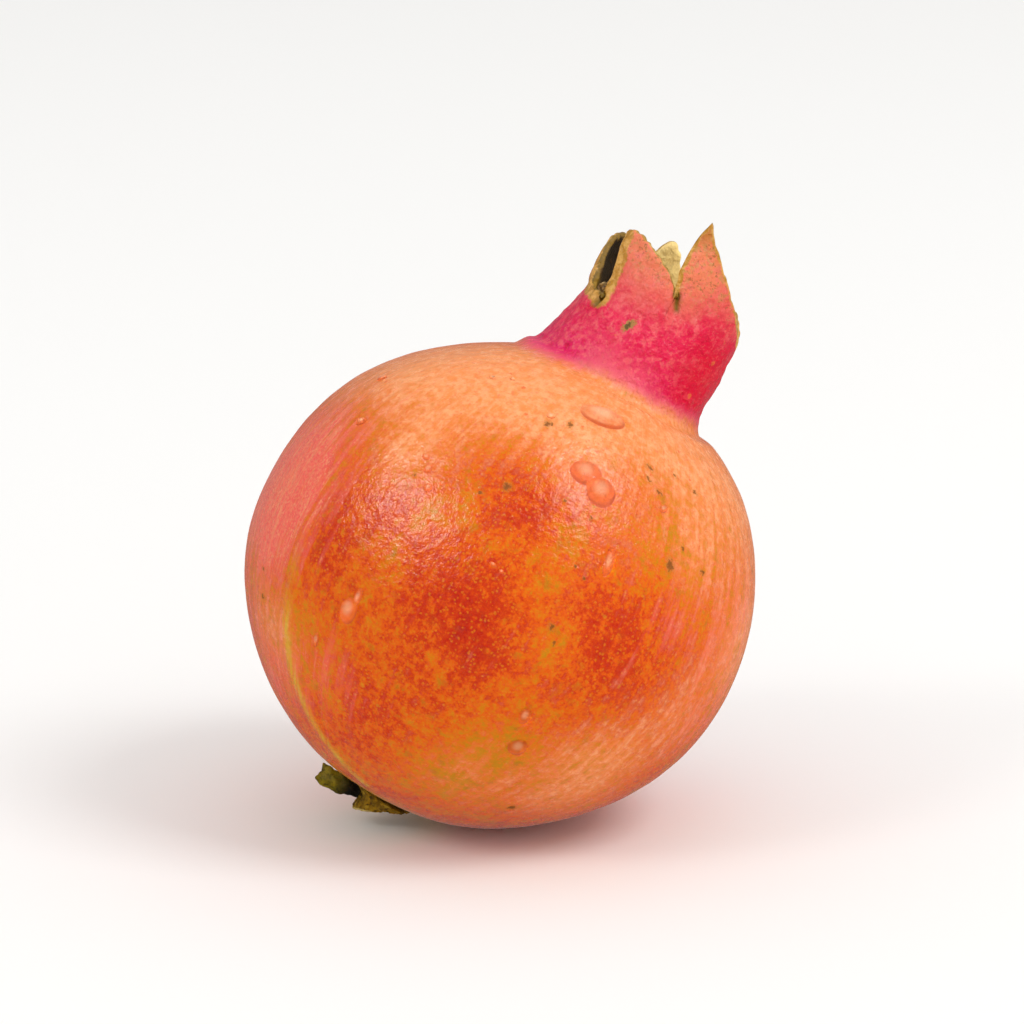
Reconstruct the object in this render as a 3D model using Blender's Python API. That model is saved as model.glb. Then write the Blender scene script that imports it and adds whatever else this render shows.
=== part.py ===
"""A whole pomegranate, lying on a small flat spot with its crown leaning up to the right.

Metres, +Z up. The fruit is drawn upright in its own frame, with its axis on Z, the stem at the lower pole
and the crown on top, and then leaned over. A bearing is an angle round that axis: 0 faces the viewer, 90 is
on the right.
"""

import math
import random
from collections import namedtuple

import bmesh
import bpy
from mathutils import Matrix, Vector

MM = 0.001

# How the fruit lies
LEAN = 31.5             # degrees between the fruit's axis and the vertical
LEAN_HEADING = 15.0     # degrees from +X towards +Y, the way the crown leans
TURN = -20.0            # degrees round its own axis, which brings bearing 0 to the front
REST_SPOT_DEPTH = 0.65 * MM

# Body
BODY_RADIUS = 46.0 * MM
SHOULDER_DROP = 1.3 * MM
SHOULDER_WIDTH = 34.0
LOWER_DROP = 0.8 * MM
LOWER_DROP_FROM = 85.0
LOWER_DROP_TO = 145.0
STEM_DIMPLE = 1.4 * MM
STEM_DIMPLE_WIDTH = 11.5
RIB_COUNT = 6
RIB_HEIGHT = 0.35 * MM
RIB_BEARING = -50.0
FIRST_POLAR = 177.0
LAST_POLAR = 27.0
BODY_ROWS = 27

# Soft rises and hollows of the body: bearing, polar angle from the crown, width in degrees, height
CHEEKS = (
    (90.0, 43.0, 24.0, 0.9 * MM),
    (-90.0, 35.0, 24.0, -1.9 * MM),
    (90.0, 134.0, 30.0, -1.05 * MM),
    (-90.0, 118.0, 28.0, 1.0 * MM),
    (20.0, 95.0, 26.0, 0.4 * MM),
    (170.0, 80.0, 30.0, -0.6 * MM),
)

# Neck of the crown: height and radius, from the shoulder up
NECK_PROFILE = ((41.0, 18.2), (41.8, 17.1), (42.9, 16.4), (44.4, 15.9), (47.0, 15.5), (50.0, 15.2))
NECK_SHIFT = 1.0 * MM
NECK_SHIFT_FROM = 43.0 * MM
NECK_SHIFT_TO = 54.0 * MM
LOBE_ROOT_HEIGHT = 50.0 * MM
LOBE_ROOT_RADIUS = 15.2 * MM
LOBE_WAIST_HEIGHT = 55.0 * MM
LOBE_WAIST_RADIUS = 14.7 * MM
LOBE_ROWS = 6
LOBE_COLUMNS = 10
NOTCH_COLUMNS = 4
NOTCH_EVENNESS = 3      # how close to a notch a lobe keeps its own curl
COLUMN_SLANT = 1.3      # how late on its way up a column turns towards its place on the rim

# A calyx lobe runs from the notch at its left bearing to the notch at its right bearing. Heights and radii
# are in millimetres. tip_share is the part of the lobe that lies left of its tip, the two powers round its
# edges, and swell widens it to the left of its tip, in degrees.
Lobe = namedtuple("Lobe", (
    "left", "left_height", "tip", "tip_height", "right", "right_height",
    "tip_share", "left_power", "right_power", "middle_radius", "tip_radius", "swell",
))
LOBES = (
    Lobe(-49.0, 54.0, -59.0, 66.9, 1.0, 60.8, 0.4, 1.0, 2.4, 14.9, 15.3, 0.0),
    Lobe(1.0, 60.8, -3.0, 75.3, 84.0, 57.0, 0.4, 1.0, 0.8, 14.9, 15.4, 5.5),
    Lobe(84.0, 57.0, 118.0, 63.4, 128.0, 57.0, 0.6, 1.2, 1.0, 14.2, 12.9, 0.0),
    Lobe(128.0, 57.0, 152.0, 66.2, 173.0, 58.0, 0.5, 1.3, 1.2, 15.3, 14.7, 0.0),
    Lobe(173.0, 58.0, 203.0, 68.6, 222.0, 57.5, 0.6, 1.7, 1.4, 15.0, 13.4, 0.0),
    Lobe(222.0, 57.5, 241.0, 65.6, 281.0, 55.3, 0.3, 1.0, 2.9, 15.8, 15.4, 0.0),
)

# Wall and cup of the crown
WALL_AT_ROOT = 3.0 * MM
WALL_AT_RIM = 1.5 * MM
RIM_CREST = 0.45 * MM
CUP_PROFILE = ((48.4, 12.0), (47.4, 11.0), (46.9, 9.0), (46.6, 6.0), (46.45, 3.0))
CUP_FLOOR = 46.4 * MM

# Stamens and style
STAMEN_DISC_RADII = (3.0, 6.0, 8.6)
STAMEN_DISC_COLUMNS = 24
STAMEN_DISC_INSET = 0.3     # how much smaller the disc is at the top of its edge
STAMEN_DISC_GAP = 0.35
STAMEN_DISC_RISE = 1.3
STAMEN_SINK = 0.75          # how far the stamens' roots reach down into the disc
STAMEN_RINGS = ((7.4, 17, 5.6, 20.0), (4.9, 11, 6.4, 12.0))    # radius, count, length, lean inwards
STYLE_LENGTH = 7.6
STAMEN_ROOT_RADIUS = 0.46
STAMEN_TIP_RADIUS = 0.32
STAMEN_STEPS = (0.0, 0.35, 0.68, 0.86, 1.0)     # where along its length a stamen has a ring
ANTHER_RADII = (0.62, 0.5)                      # its last two rings
STAMEN_SIDES = 5
STAMEN_SEED = 7
STAMEN_SPREAD = 4.0             # degrees to either side of its even place
STAMEN_SIDEWAYS = (-0.12, 0.2)
STAMEN_STRETCH = (0.8, 1.1)
STAMEN_LEAN_STRETCH = (0.4, 1.4)
STYLE_LEAN = 6.0
STYLE_SIDEWAYS = 0.1
TUBE_POINTS = (0.4, 0.6)        # how far a tube's two ends stand out, in radii

# Stem stub: height and radius, from the middle of its seat on the skin round to the pith
STEM_GAP = 0.45
STEM_SEAT_RADII = (2.0, 4.0, 5.6)
STEM_PROFILE = (
    (-44.8, 6.0), (-45.5, 5.2), (-46.1, 4.1), (-46.7, 3.3), (-47.5, 2.9), (-48.1, 2.65), (-48.2, 2.1),
    (-47.8, 1.7), (-48.1, 1.2), (-48.15, 0.6),
)
STEM_PITH_HEIGHT = -47.7
STEM_COLUMNS = 22
STEM_COLLAR_SHIFT = 1.0  # how far right of the axis the collar and the stub sit
STEM_STUB_SHIFT = 0.3
STEM_CUT_TILT = 24.0     # degrees, a cut that slopes down to the left
STEM_SHIFT_FROM = 45.0
STEM_CUT_FROM = 46.0
STEM_CUT_TO = 48.0
STEM_LUMPS_TO = -45.5    # the bark's lumps fade out above the collar
STEM_LUMPS = ((3, 1.0, 0.07), (5, 2.6, 0.05))     # how many round the stem, their phase and their share
STEM_LUMP_TWIST = 0.8
STEM_OVAL = 0.03

# Torn leaf: station x, y, z, half its width and half its thickness
LEAF_STATIONS = (
    (-5.8, -2.8, -46.2, 1.1, 0.6),
    (-6.6, -3.0, -46.2, 1.25, 0.75),
    (-7.6, -3.2, -46.25, 1.45, 0.85),
    (-8.7, -3.3, -46.3, 1.65, 0.9),
    (-9.8, -3.2, -46.35, 1.8, 0.85),
    (-10.8, -3.0, -46.3, 1.7, 0.7),
)
LEAF_SIDES = 12
LEAF_TEAR = 0.7
LEAF_TEETH = 3.0
LEAF_WAVE = 0.16
LEAF_WAVES = 2.3
LEAF_END_DEPTHS = (0.2, 0.1)


def bell(x, centre, width):
    """1 at the centre, fading smoothly to nothing about two widths away."""
    return math.exp(-(((x - centre) / width) ** 2))


def ease(x, low, high):
    """0 below low, 1 above high, and smooth in between."""
    t = min(1.0, max(0.0, (x - low) / (high - low)))
    return t * t * (3.0 - 2.0 * t)


def mix(a, b, t):
    return a + (b - a) * t


def evenness(place):
    """1 for most of the way from place 0 to place 1, falling to nothing at both."""
    return 1.0 - abs(2.0 * place - 1.0) ** NOTCH_EVENNESS


def round_axis(bearing, radius, height):
    """The point at a bearing, a distance from the axis and a height."""
    b = math.radians(bearing)
    return Vector((radius * math.sin(b), -radius * math.cos(b), height))


def skin_radius(bearing, polar):
    """Distance from the body's middle to its skin. The polar angle is 0 at the crown and 180 at the stem."""
    p = math.radians(polar)
    radius = BODY_RADIUS
    radius -= SHOULDER_DROP * bell(polar, 0.0, SHOULDER_WIDTH)
    radius -= LOWER_DROP * ease(polar, LOWER_DROP_FROM, LOWER_DROP_TO)
    radius -= STEM_DIMPLE * bell(polar, 180.0, STEM_DIMPLE_WIDTH)
    radius += RIB_HEIGHT * math.sin(p) ** 2 * math.cos(math.radians(RIB_COUNT * (bearing - RIB_BEARING)))
    here = round_axis(bearing, math.sin(p), math.cos(p))
    for cheek_bearing, cheek_polar, width, height in CHEEKS:
        c = math.radians(cheek_polar)
        there = round_axis(cheek_bearing, math.sin(c), math.cos(c))
        radius += height * bell(math.degrees(here.angle(there)), 0.0, width)
    return radius


def skin_point(bearing, polar):
    p = math.radians(polar)
    radius = skin_radius(bearing, polar)
    return round_axis(bearing, radius * math.sin(p), radius * math.cos(p))


def neck_point(bearing, radius, height):
    """A point of the crown, whose middle drifts to the right as it rises."""
    shift = NECK_SHIFT * ease(height, NECK_SHIFT_FROM, NECK_SHIFT_TO)
    return round_axis(bearing, radius, height) + Vector((shift, 0.0, 0.0))


def crown_columns():
    """For each column of the crown: bearing at its root, bearing and height at the rim, its lobe, and its
    place in the lobe, from 0 at the left notch to 1 at the right one."""
    columns = []
    for lobe in LOBES:
        for i in range(LOBE_COLUMNS):
            share = i / LOBE_COLUMNS
            root = mix(lobe.left, lobe.right, share)
            if share <= lobe.tip_share:
                t = share / lobe.tip_share
                rim = mix(lobe.left, lobe.tip, t) - lobe.swell * evenness(t)
                height = mix(lobe.left_height, lobe.tip_height, 1.0 - (1.0 - t) ** lobe.left_power)
            else:
                t = (share - lobe.tip_share) / (1.0 - lobe.tip_share)
                rim = mix(lobe.tip, lobe.right, t)
                height = mix(lobe.tip_height, lobe.right_height, t ** lobe.right_power)
            columns.append((root, rim, height * MM, lobe, share))
    last, first = LOBES[-1], LOBES[0]
    for i in range(NOTCH_COLUMNS):
        t = i / NOTCH_COLUMNS
        bearing = mix(last.right, first.left + 360.0, t)
        height = mix(last.right_height, first.left_height, t) * MM
        columns.append((bearing, bearing, height, first, 0.0))
    return columns


def lobe_radius(lobe, place, height):
    """Outer radius of the crown at a height: in to a waist, then out and in again where its lobe curls."""
    if height < LOBE_WAIST_HEIGHT:
        return mix(LOBE_ROOT_RADIUS, LOBE_WAIST_RADIUS, ease(height, LOBE_ROOT_HEIGHT, LOBE_WAIST_HEIGHT))
    t = (height - LOBE_WAIST_HEIGHT) / (lobe.tip_height * MM - LOBE_WAIST_HEIGHT)
    middle = lobe.middle_radius * MM - LOBE_WAIST_RADIUS
    tip = lobe.tip_radius * MM - LOBE_WAIST_RADIUS
    curl = 4 * t * (1 - t) * middle + t * (2 * t - 1) * tip
    return LOBE_WAIST_RADIUS + curl * evenness(place)


def lobe_wall(columns, share, inner):
    """A ring of the crown's wall, at a share of the way from the lobes' root to their rim."""
    ring = []
    for root, rim, rim_height, lobe, place in columns:
        height = mix(LOBE_ROOT_HEIGHT, rim_height, share)
        radius = lobe_radius(lobe, place, height)
        if inner:
            radius -= mix(WALL_AT_ROOT, WALL_AT_RIM, share)
        ring.append(neck_point(mix(root, rim, share ** COLUMN_SLANT), radius, height))
    return ring


def rim_crest(columns):
    """The ring along the top of the rim, half a wall inside its outer edge."""
    ring = []
    for _, rim, rim_height, lobe, place in columns:
        radius = lobe_radius(lobe, place, rim_height) - WALL_AT_RIM / 2
        ring.append(neck_point(rim, radius, rim_height + RIM_CREST))
    return ring


def fruit_rings():
    """Every ring of the fruit, from the stem pole over the body and the rim to the floor of the cup."""
    columns = crown_columns()
    bearings = [column[0] for column in columns]
    rings = []
    for i in range(BODY_ROWS):
        polar = mix(FIRST_POLAR, LAST_POLAR, i / (BODY_ROWS - 1))
        rings.append([skin_point(bearing, polar) for bearing in bearings])
    for height, radius in NECK_PROFILE:
        rings.append([neck_point(bearing, radius * MM, height * MM) for bearing in bearings])
    shares = [(i + 1) / LOBE_ROWS for i in range(LOBE_ROWS)]
    rings += [lobe_wall(columns, share, inner=False) for share in shares]
    rings.append(rim_crest(columns))
    rings += [lobe_wall(columns, share, inner=True) for share in reversed(shares)]
    rings.append(lobe_wall(columns, 0.0, inner=True))
    for height, radius in CUP_PROFILE:
        rings.append([neck_point(bearing, radius * MM, height * MM) for bearing in bearings])
    return rings


def loft(rings, first_pole, last_pole):
    """A closed bmesh skin over rings of equally many points, with a pole at each end."""
    bm = bmesh.new()
    rows = [[bm.verts.new(point) for point in ring] for ring in rings]
    count = len(rings[0])
    for low, high in zip(rows, rows[1:]):
        for i in range(count):
            j = (i + 1) % count
            bm.faces.new((low[i], low[j], high[j], high[i]))
    for row, pole in ((rows[0], first_pole), (rows[-1], last_pole)):
        middle = bm.verts.new(pole)
        for i in range(count):
            bm.faces.new((row[i], row[(i + 1) % count], middle))
    bmesh.ops.recalc_face_normals(bm, faces=bm.faces)
    return bm


def lean():
    """Turns the upright fruit to the way it lies."""
    heading = Matrix.Rotation(math.radians(LEAN_HEADING), 4, "Z")
    tilt = Matrix.Rotation(math.radians(LEAN), 4, "Y")
    turn = Matrix.Rotation(math.radians(TURN), 4, "Z")
    return heading @ tilt @ turn


def cut_rest_spot(bm):
    """Cuts the underside level, and returns the middle of the flat in the fruit's own frame."""
    down = lean().inverted().to_3x3() @ Vector((0.0, 0.0, -1.0))
    lowest = max(vert.co.dot(down) for vert in bm.verts)
    on_plane = down * (lowest - REST_SPOT_DEPTH)
    cut = bmesh.ops.bisect_plane(
        bm, geom=bm.verts[:] + bm.edges[:] + bm.faces[:], plane_co=on_plane, plane_no=down, clear_outer=True
    )
    edges = [item for item in cut["geom_cut"] if isinstance(item, bmesh.types.BMEdge)]
    flat = bmesh.ops.edgeloop_fill(bm, edges=edges)["faces"][0]
    bmesh.ops.recalc_face_normals(bm, faces=bm.faces)
    return flat.calc_center_median()


def material(name, colour, roughness):
    mat = bpy.data.materials.new(name)
    mat.use_nodes = True
    shader = mat.node_tree.nodes["Principled BSDF"]
    shader.inputs["Base Color"].default_value = (*colour, 1.0)
    shader.inputs["Roughness"].default_value = roughness
    shader.inputs["Metallic"].default_value = 0.0
    return mat


def add_object(name, bm, mat, collection, parent):
    mesh = bpy.data.meshes.new(name)
    bm.to_mesh(mesh)
    bm.free()
    mesh.materials.append(mat)
    mesh.shade_smooth()
    mesh.set_sharp_from_angle(angle=math.radians(50.0))
    obj = bpy.data.objects.new(name, mesh)
    collection.objects.link(obj)
    obj.parent = parent
    return obj


def tube(path, radii, sides):
    """A closed bmesh tube of flat facets along a path, pointed a little at both ends."""
    rings = []
    for i, centre in enumerate(path):
        ahead = path[min(i + 1, len(path) - 1)] - path[max(i - 1, 0)]
        side = ahead.cross(Vector((0.0, 1.0, 0.2))).normalized()
        up = side.cross(ahead).normalized()
        ring = []
        for k in range(sides):
            angle = 2.0 * math.pi * k / sides
            ring.append(centre + (side * math.cos(angle) + up * math.sin(angle)) * radii[i])
        rings.append(ring)
    start = path[0] - (path[1] - path[0]).normalized() * radii[0] * TUBE_POINTS[0]
    end = path[-1] + (path[-1] - path[-2]).normalized() * radii[-1] * TUBE_POINTS[1]
    return loft(rings, start, end)


def stamen(root, inward, sideways, length, lean_in):
    """One dried stamen: a thread that rises, bends and ends in a small knob."""
    path = []
    radii = []
    for share in STAMEN_STEPS:
        bend = math.tan(math.radians(lean_in)) * share * share
        drift = inward * bend + sideways * share * share
        path.append(root + (drift + Vector((0.0, 0.0, share))) * length)
        radii.append(mix(STAMEN_ROOT_RADIUS, STAMEN_TIP_RADIUS, share))
    radii[-2:] = ANTHER_RADII
    return tube([point * MM for point in path], [radius * MM for radius in radii], STAMEN_SIDES)


def cup_height(radius):
    """Height of the cup's floor, in millimetres, at a distance from its middle."""
    floor = [(CUP_FLOOR / MM, 0.0)] + [point for point in reversed(CUP_PROFILE)]
    for (low_z, low_r), (high_z, high_r) in zip(floor, floor[1:]):
        if radius <= high_r:
            return mix(low_z, high_z, (radius - low_r) / (high_r - low_r))
    return floor[-1][0]


def stamen_disc():
    """The low round pad that the stamens grow from, lying just over the floor of the cup."""
    bearings = [360.0 * i / STAMEN_DISC_COLUMNS for i in range(STAMEN_DISC_COLUMNS)]
    rings = []
    for radius in STAMEN_DISC_RADII:
        height = cup_height(radius) + STAMEN_DISC_GAP
        rings.append([neck_point(bearing, radius * MM, height * MM) for bearing in bearings])
    for radius in reversed(STAMEN_DISC_RADII):
        height = cup_height(radius) + STAMEN_DISC_GAP + STAMEN_DISC_RISE
        inset = STAMEN_DISC_INSET if radius == STAMEN_DISC_RADII[-1] else 0.0
        rings.append([neck_point(bearing, (radius - inset) * MM, height * MM) for bearing in bearings])
    middle = neck_point(0.0, 0.0, CUP_FLOOR)
    low = middle + Vector((0.0, 0.0, STAMEN_DISC_GAP * MM))
    high = middle + Vector((0.0, 0.0, (STAMEN_DISC_GAP + STAMEN_DISC_RISE) * MM))
    return loft(rings, low, high)


def build_stamens(mat, collection, parent):
    """The pad, a style and two rings of stamens, joined into one body by a union."""
    rng = random.Random(STAMEN_SEED)
    pad = add_object("stamens", stamen_disc(), mat, collection, parent)
    threads = bpy.data.collections.new("stamen_threads")
    bpy.context.scene.collection.children.link(threads)
    centre = neck_point(0.0, 0.0, CUP_FLOOR) / MM
    root_lift = STAMEN_DISC_GAP + STAMEN_DISC_RISE - STAMEN_SINK
    for radius, count, length, lean_in in STAMEN_RINGS:
        for i in range(count):
            bearing = 360.0 * i / count + rng.uniform(-STAMEN_SPREAD, STAMEN_SPREAD)
            outward = round_axis(bearing, 1.0, 0.0)
            along = round_axis(bearing + 90.0, 1.0, 0.0)
            root = centre + outward * radius
            root.z = cup_height(radius) + root_lift
            sideways = along * rng.uniform(*STAMEN_SIDEWAYS)
            own_length = length * rng.uniform(*STAMEN_STRETCH)
            own_lean = lean_in * rng.uniform(*STAMEN_LEAN_STRETCH)
            thread = stamen(root, -outward, sideways, own_length, own_lean)
            add_object("thread", thread, mat, threads, parent)
    root = centre + Vector((0.0, 0.0, root_lift))
    sideways = Vector((0.0, STYLE_SIDEWAYS, 0.0))
    style = stamen(root, Vector((1.0, 0.0, 0.0)), sideways, STYLE_LENGTH, STYLE_LEAN)
    add_object("thread", style, mat, threads, parent)
    join = pad.modifiers.new("join_threads", "BOOLEAN")
    join.operation = "UNION"
    join.operand_type = "COLLECTION"
    join.collection = threads
    join.solver = "EXACT"
    bpy.context.view_layer.update()
    evaluated = pad.evaluated_get(bpy.context.evaluated_depsgraph_get())
    joined = bpy.data.meshes.new_from_object(evaluated)
    pad.modifiers.clear()
    pad.data = joined
    for thread in list(threads.objects):
        bpy.data.objects.remove(thread)
    bpy.data.collections.remove(threads)
    return pad


def stem_swell(bearing, height):
    """How far the bark's lumps push the stem out at a bearing, as a factor."""
    b = math.radians(bearing)
    lumps = 0.0
    for count, phase, share in STEM_LUMPS:
        lumps += share * math.sin(count * b + phase + STEM_LUMP_TWIST * height)
    return 1.0 + lumps * ease(height, -STEM_CUT_TO, STEM_LUMPS_TO) + STEM_OVAL * math.sin(2 * b)


def stem_rings():
    bearings = [360.0 * i / STEM_COLUMNS for i in range(STEM_COLUMNS)]
    rings = []
    for radius in STEM_SEAT_RADII:
        polar = 180.0 - math.degrees(math.asin(radius * MM / BODY_RADIUS))
        ring = []
        for bearing in bearings:
            point = skin_point(bearing, polar)
            ring.append(point - Vector((0.0, 0.0, STEM_GAP * MM)))
        rings.append(ring)
    slope = math.tan(math.radians(STEM_CUT_TILT))
    for height, radius in STEM_PROFILE:
        ring = []
        for bearing in bearings:
            point = round_axis(bearing, radius * stem_swell(bearing, height), height)
            point.x += mix(STEM_COLLAR_SHIFT, STEM_STUB_SHIFT, ease(-height, STEM_SHIFT_FROM, STEM_CUT_TO))
            point.z += point.x * slope * ease(-height, STEM_CUT_FROM, STEM_CUT_TO)
            ring.append(point * MM)
        rings.append(ring)
    return rings


def build_stem(mat, collection, parent):
    seat = skin_point(0.0, 180.0) - Vector((0.0, 0.0, STEM_GAP * MM))
    pith = Vector((0.0, 0.0, STEM_PITH_HEIGHT * MM))
    return add_object("stem", loft(stem_rings(), seat, pith), mat, collection, parent)


def build_leaf(mat, collection, parent):
    """The torn leaf: oval sections that widen along a short path, with a ragged end."""
    rings = []
    last = len(LEAF_STATIONS) - 1
    for i, (x, y, z, half_width, half_thickness) in enumerate(LEAF_STATIONS):
        ring = []
        for k in range(LEAF_SIDES):
            angle = 2.0 * math.pi * k / LEAF_SIDES
            wave = LEAF_WAVE * math.sin(LEAF_WAVES * x + 2.0 * angle)
            point = Vector((x, y, z))
            point += Vector((0.0, math.cos(angle) * half_thickness, math.sin(angle) * (half_width + wave)))
            if i == last:
                point.x += LEAF_TEAR * math.sin(LEAF_TEETH * angle)
            ring.append(point * MM)
        rings.append(ring)
    start = Vector(LEAF_STATIONS[0][:3]) * MM + Vector((LEAF_END_DEPTHS[0] * MM, 0.0, 0.0))
    end = Vector(LEAF_STATIONS[last][:3]) * MM + Vector((LEAF_END_DEPTHS[1] * MM, 0.0, 0.0))
    return add_object("leaf_stub", loft(rings, start, end), mat, collection, parent)


def main():
    for obj in list(bpy.data.objects):
        bpy.data.objects.remove(obj)
    collection = bpy.data.collections.new("pomegranate")
    bpy.context.scene.collection.children.link(collection)
    axis = bpy.data.objects.new("fruit_axis", None)
    collection.objects.link(axis)

    rings = fruit_rings()
    fruit = loft(rings, skin_point(0.0, 180.0), neck_point(0.0, 0.0, CUP_FLOOR))
    flat_middle = cut_rest_spot(fruit)
    turned = lean()
    axis.rotation_euler = turned.to_euler()
    axis.location = -(turned @ flat_middle)

    add_object("fruit", fruit, material("rind", (0.72, 0.17, 0.06), 0.42), collection, axis)
    build_stamens(material("dried_stamen", (0.23, 0.13, 0.04), 0.85), collection, axis)
    build_stem(material("stem_bark", (0.16, 0.11, 0.03), 0.9), collection, axis)
    build_leaf(material("torn_leaf", (0.12, 0.12, 0.02), 0.75), collection, axis)
    bpy.context.view_layer.update()


main()
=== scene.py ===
"""A pomegranate lying on its rest spot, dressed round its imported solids.

The fine skin, crown, stamens, stem and leaf follow the same named sizes as the solids. Sizes are in
millimetres in the fruit's own frame, where the stem is at the lower pole, the crown is on top and bearing 0
faces the camera; MM turns them into metres, and place() leans the fruit over into the shared frame.
"""

import math
import random
from collections import namedtuple

import bmesh
import bpy
import numpy as np
from mathutils import Matrix, Vector, noise


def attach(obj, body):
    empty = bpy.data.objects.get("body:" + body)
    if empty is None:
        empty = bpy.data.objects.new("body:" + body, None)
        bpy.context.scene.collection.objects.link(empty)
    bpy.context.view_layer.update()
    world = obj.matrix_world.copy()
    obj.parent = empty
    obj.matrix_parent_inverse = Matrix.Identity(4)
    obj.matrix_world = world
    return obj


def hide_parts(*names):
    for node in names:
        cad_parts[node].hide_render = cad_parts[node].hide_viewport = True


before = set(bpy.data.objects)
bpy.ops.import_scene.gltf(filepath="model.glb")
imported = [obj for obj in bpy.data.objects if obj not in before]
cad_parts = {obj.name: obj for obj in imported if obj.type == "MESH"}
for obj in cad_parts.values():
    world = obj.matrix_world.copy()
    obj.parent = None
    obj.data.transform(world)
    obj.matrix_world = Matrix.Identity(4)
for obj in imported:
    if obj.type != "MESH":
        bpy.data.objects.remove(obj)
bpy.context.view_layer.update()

MM = 0.001

# How the fruit lies
LEAN = 31.5
LEAN_HEADING = 15.0
TURN = -20.0
BODY_MIDDLE = (1.852, -1.452, 43.855)

# Camera: where the photograph was taken from, and where the body's middle falls in its 1024 pixels
CAMERA_DISTANCE = 800.0
CAMERA_ELEVATION = 14.0
PIXELS_PER_MM = 5.51
PHOTO_SIZE = 1024.0
BODY_MIDDLE_PIXEL = (499.8, 582.7)
SENSOR_WIDTH = 36.0

# Light and floor. A soft box has its direction as seen from the camera, to the right, up and towards it,
# then its size and the power of its two lights: one that lights the skin, and one that only shows as its
# reflection.
SOFT_BOXES = (
    ("soft_box_left", (-0.617, 0.532, 0.58), 0.8, 11.0, 78.0),
    ("soft_box_right", (0.587, 0.651, 0.482), 1.2, 30.0, 90.0),
    ("soft_box_low", (0.6, -0.15, 0.78), 1.2, 8.0, 0.0),
)
SOFT_BOX_DISTANCE = 3.0
WORLD_STRENGTH = 0.83
WORLD_GLARE = 0.28
FLOOR_HALF_SIZE = 4.0
FLOOR_HEIGHT = -0.0002
FLOOR_COLOUR = (244, 243, 241)

# Body
BODY_RADIUS = 46.0
SHOULDER_DROP = 1.3
SHOULDER_WIDTH = 34.0
LOWER_DROP = 0.8
LOWER_DROP_FROM = 85.0
LOWER_DROP_TO = 145.0
STEM_DIMPLE = 1.4
STEM_DIMPLE_WIDTH = 11.5
RIB_COUNT = 6
RIB_HEIGHT = 0.35
RIB_BEARING = -50.0
FIRST_POLAR = 177.0
LAST_POLAR = 27.0

# Soft rises and hollows of the body: bearing, polar angle from the crown, width in degrees, height
CHEEKS = (
    (90, 43, 24, 0.9),
    (-90, 35, 24, -1.9),
    (90, 134, 30, -1.05),
    (-90, 118, 28, 1),
    (20, 95, 26, 0.4),
    (170, 80, 30, -0.6),
)

# The fold that runs down the lower left of the body: bearing and polar angle of points along it
FOLD = ((-48.5, 98), (-47.5, 103), (-46, 119), (-43, 131), (-36, 142), (-24, 150), (-8, 156))
FOLD_HEIGHT = 0.42
FOLD_WIDTH = 2.4

# Crown
NECK_PROFILE = ((41.0, 18.2), (41.8, 17.1), (42.9, 16.4), (44.4, 15.9), (47.0, 15.5))
NECK_SHIFT = 1.0
NECK_SHIFT_FROM = 43.0
NECK_SHIFT_TO = 54.0
LOBE_ROOT_HEIGHT = 50.0
LOBE_ROOT_RADIUS = 15.2
LOBE_WAIST_HEIGHT = 55.0
LOBE_WAIST_RADIUS = 14.7
LOBE_COLUMNS = 56
NOTCH_COLUMNS = 14
NOTCH_EVENNESS = 3
COLUMN_SLANT = 1.3
WALL_AT_ROOT = 3.0
WALL_AT_RIM = 1.35
RIM_CREST = 0.45
RIM_ROWS = 5
CUP_PROFILE = ((48.4, 12.0), (47.4, 11.0), (46.9, 9.0), (46.6, 6.0), (46.45, 3.0))
CUP_FLOOR = 46.4

# A calyx lobe between the notches at its two sides. swell widens it to the left of its tip, in degrees;
# cream is how far its inner face goes from near-black painted shade to its cream colour, and the two margins
# the width of the dry band along its left and right edge.
Lobe = namedtuple("Lobe", (
    "left", "left_height", "tip", "tip_height", "right", "right_height", "tip_share", "left_power",
    "right_power", "middle_radius", "tip_radius", "swell", "cream", "left_margin", "right_margin",
))
LOBES = (
    Lobe(-49.0, 54.0, -59.0, 66.9, 1.0, 60.8, 0.4, 1.0, 2.4, 14.9, 15.3, 0.0, 0.5, 2.4, 0.5),
    Lobe(1.0, 60.8, -3.0, 75.3, 84.0, 57.0, 0.4, 1.0, 0.8, 14.9, 15.4, 5.5, 0.7, 1.0, 0.9),
    Lobe(84.0, 57.0, 118.0, 63.4, 128.0, 57.0, 0.6, 1.2, 1.0, 14.2, 12.9, 0.0, 0.6, 0.7, 0.7),
    Lobe(128.0, 57.0, 152.0, 66.2, 173.0, 58.0, 0.5, 1.3, 1.2, 15.3, 14.7, 0.0, 0.8, 0.7, 0.7),
    Lobe(173.0, 58.0, 203.0, 68.6, 222.0, 57.5, 0.6, 1.7, 1.4, 15.0, 13.4, 0.0, 1.0, 0.7, 0.7),
    Lobe(222.0, 57.5, 241.0, 65.6, 281.0, 55.3, 0.3, 1.0, 2.9, 15.8, 15.4, 0.0, 0.0, 2.4, 2.6),
)

# The fine skin's rows, and the unevenness of its surface, as waves of a height and a size
FINE_BODY_ROWS = 150
FINE_LOBE_ROWS = 36
FINE_NECK_STEPS = 4
FINE_CUP_STEPS = 2
TUBE_END = 0.12
BODY_WAVES = ((0.28, 18.0), (0.06, 4.0))
CROWN_WAVES = ((0.35, 6.0), (0.2, 1.8))
RIM_RAGGED = 0.55
RIM_RAGGED_PACE = 12.0

# Where the crown's skin, the rim's dry margin, the fold's colour and the ring round the stem set in
CROWN_FROM = 40.0
CROWN_TO = 44.0
FAR_FROM_RIM = 30.0
MARGIN_CHANGE = 0.06
FOLD_COLOUR_WIDTH = 1.0
FOLD_COLOUR_FROM = 96.0
FOLD_COLOUR_TO = 119.0
STEM_RING_FROM = 152.0
STEM_RING_TO = 173.0
STREAK_STRETCH = 9.0

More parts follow.
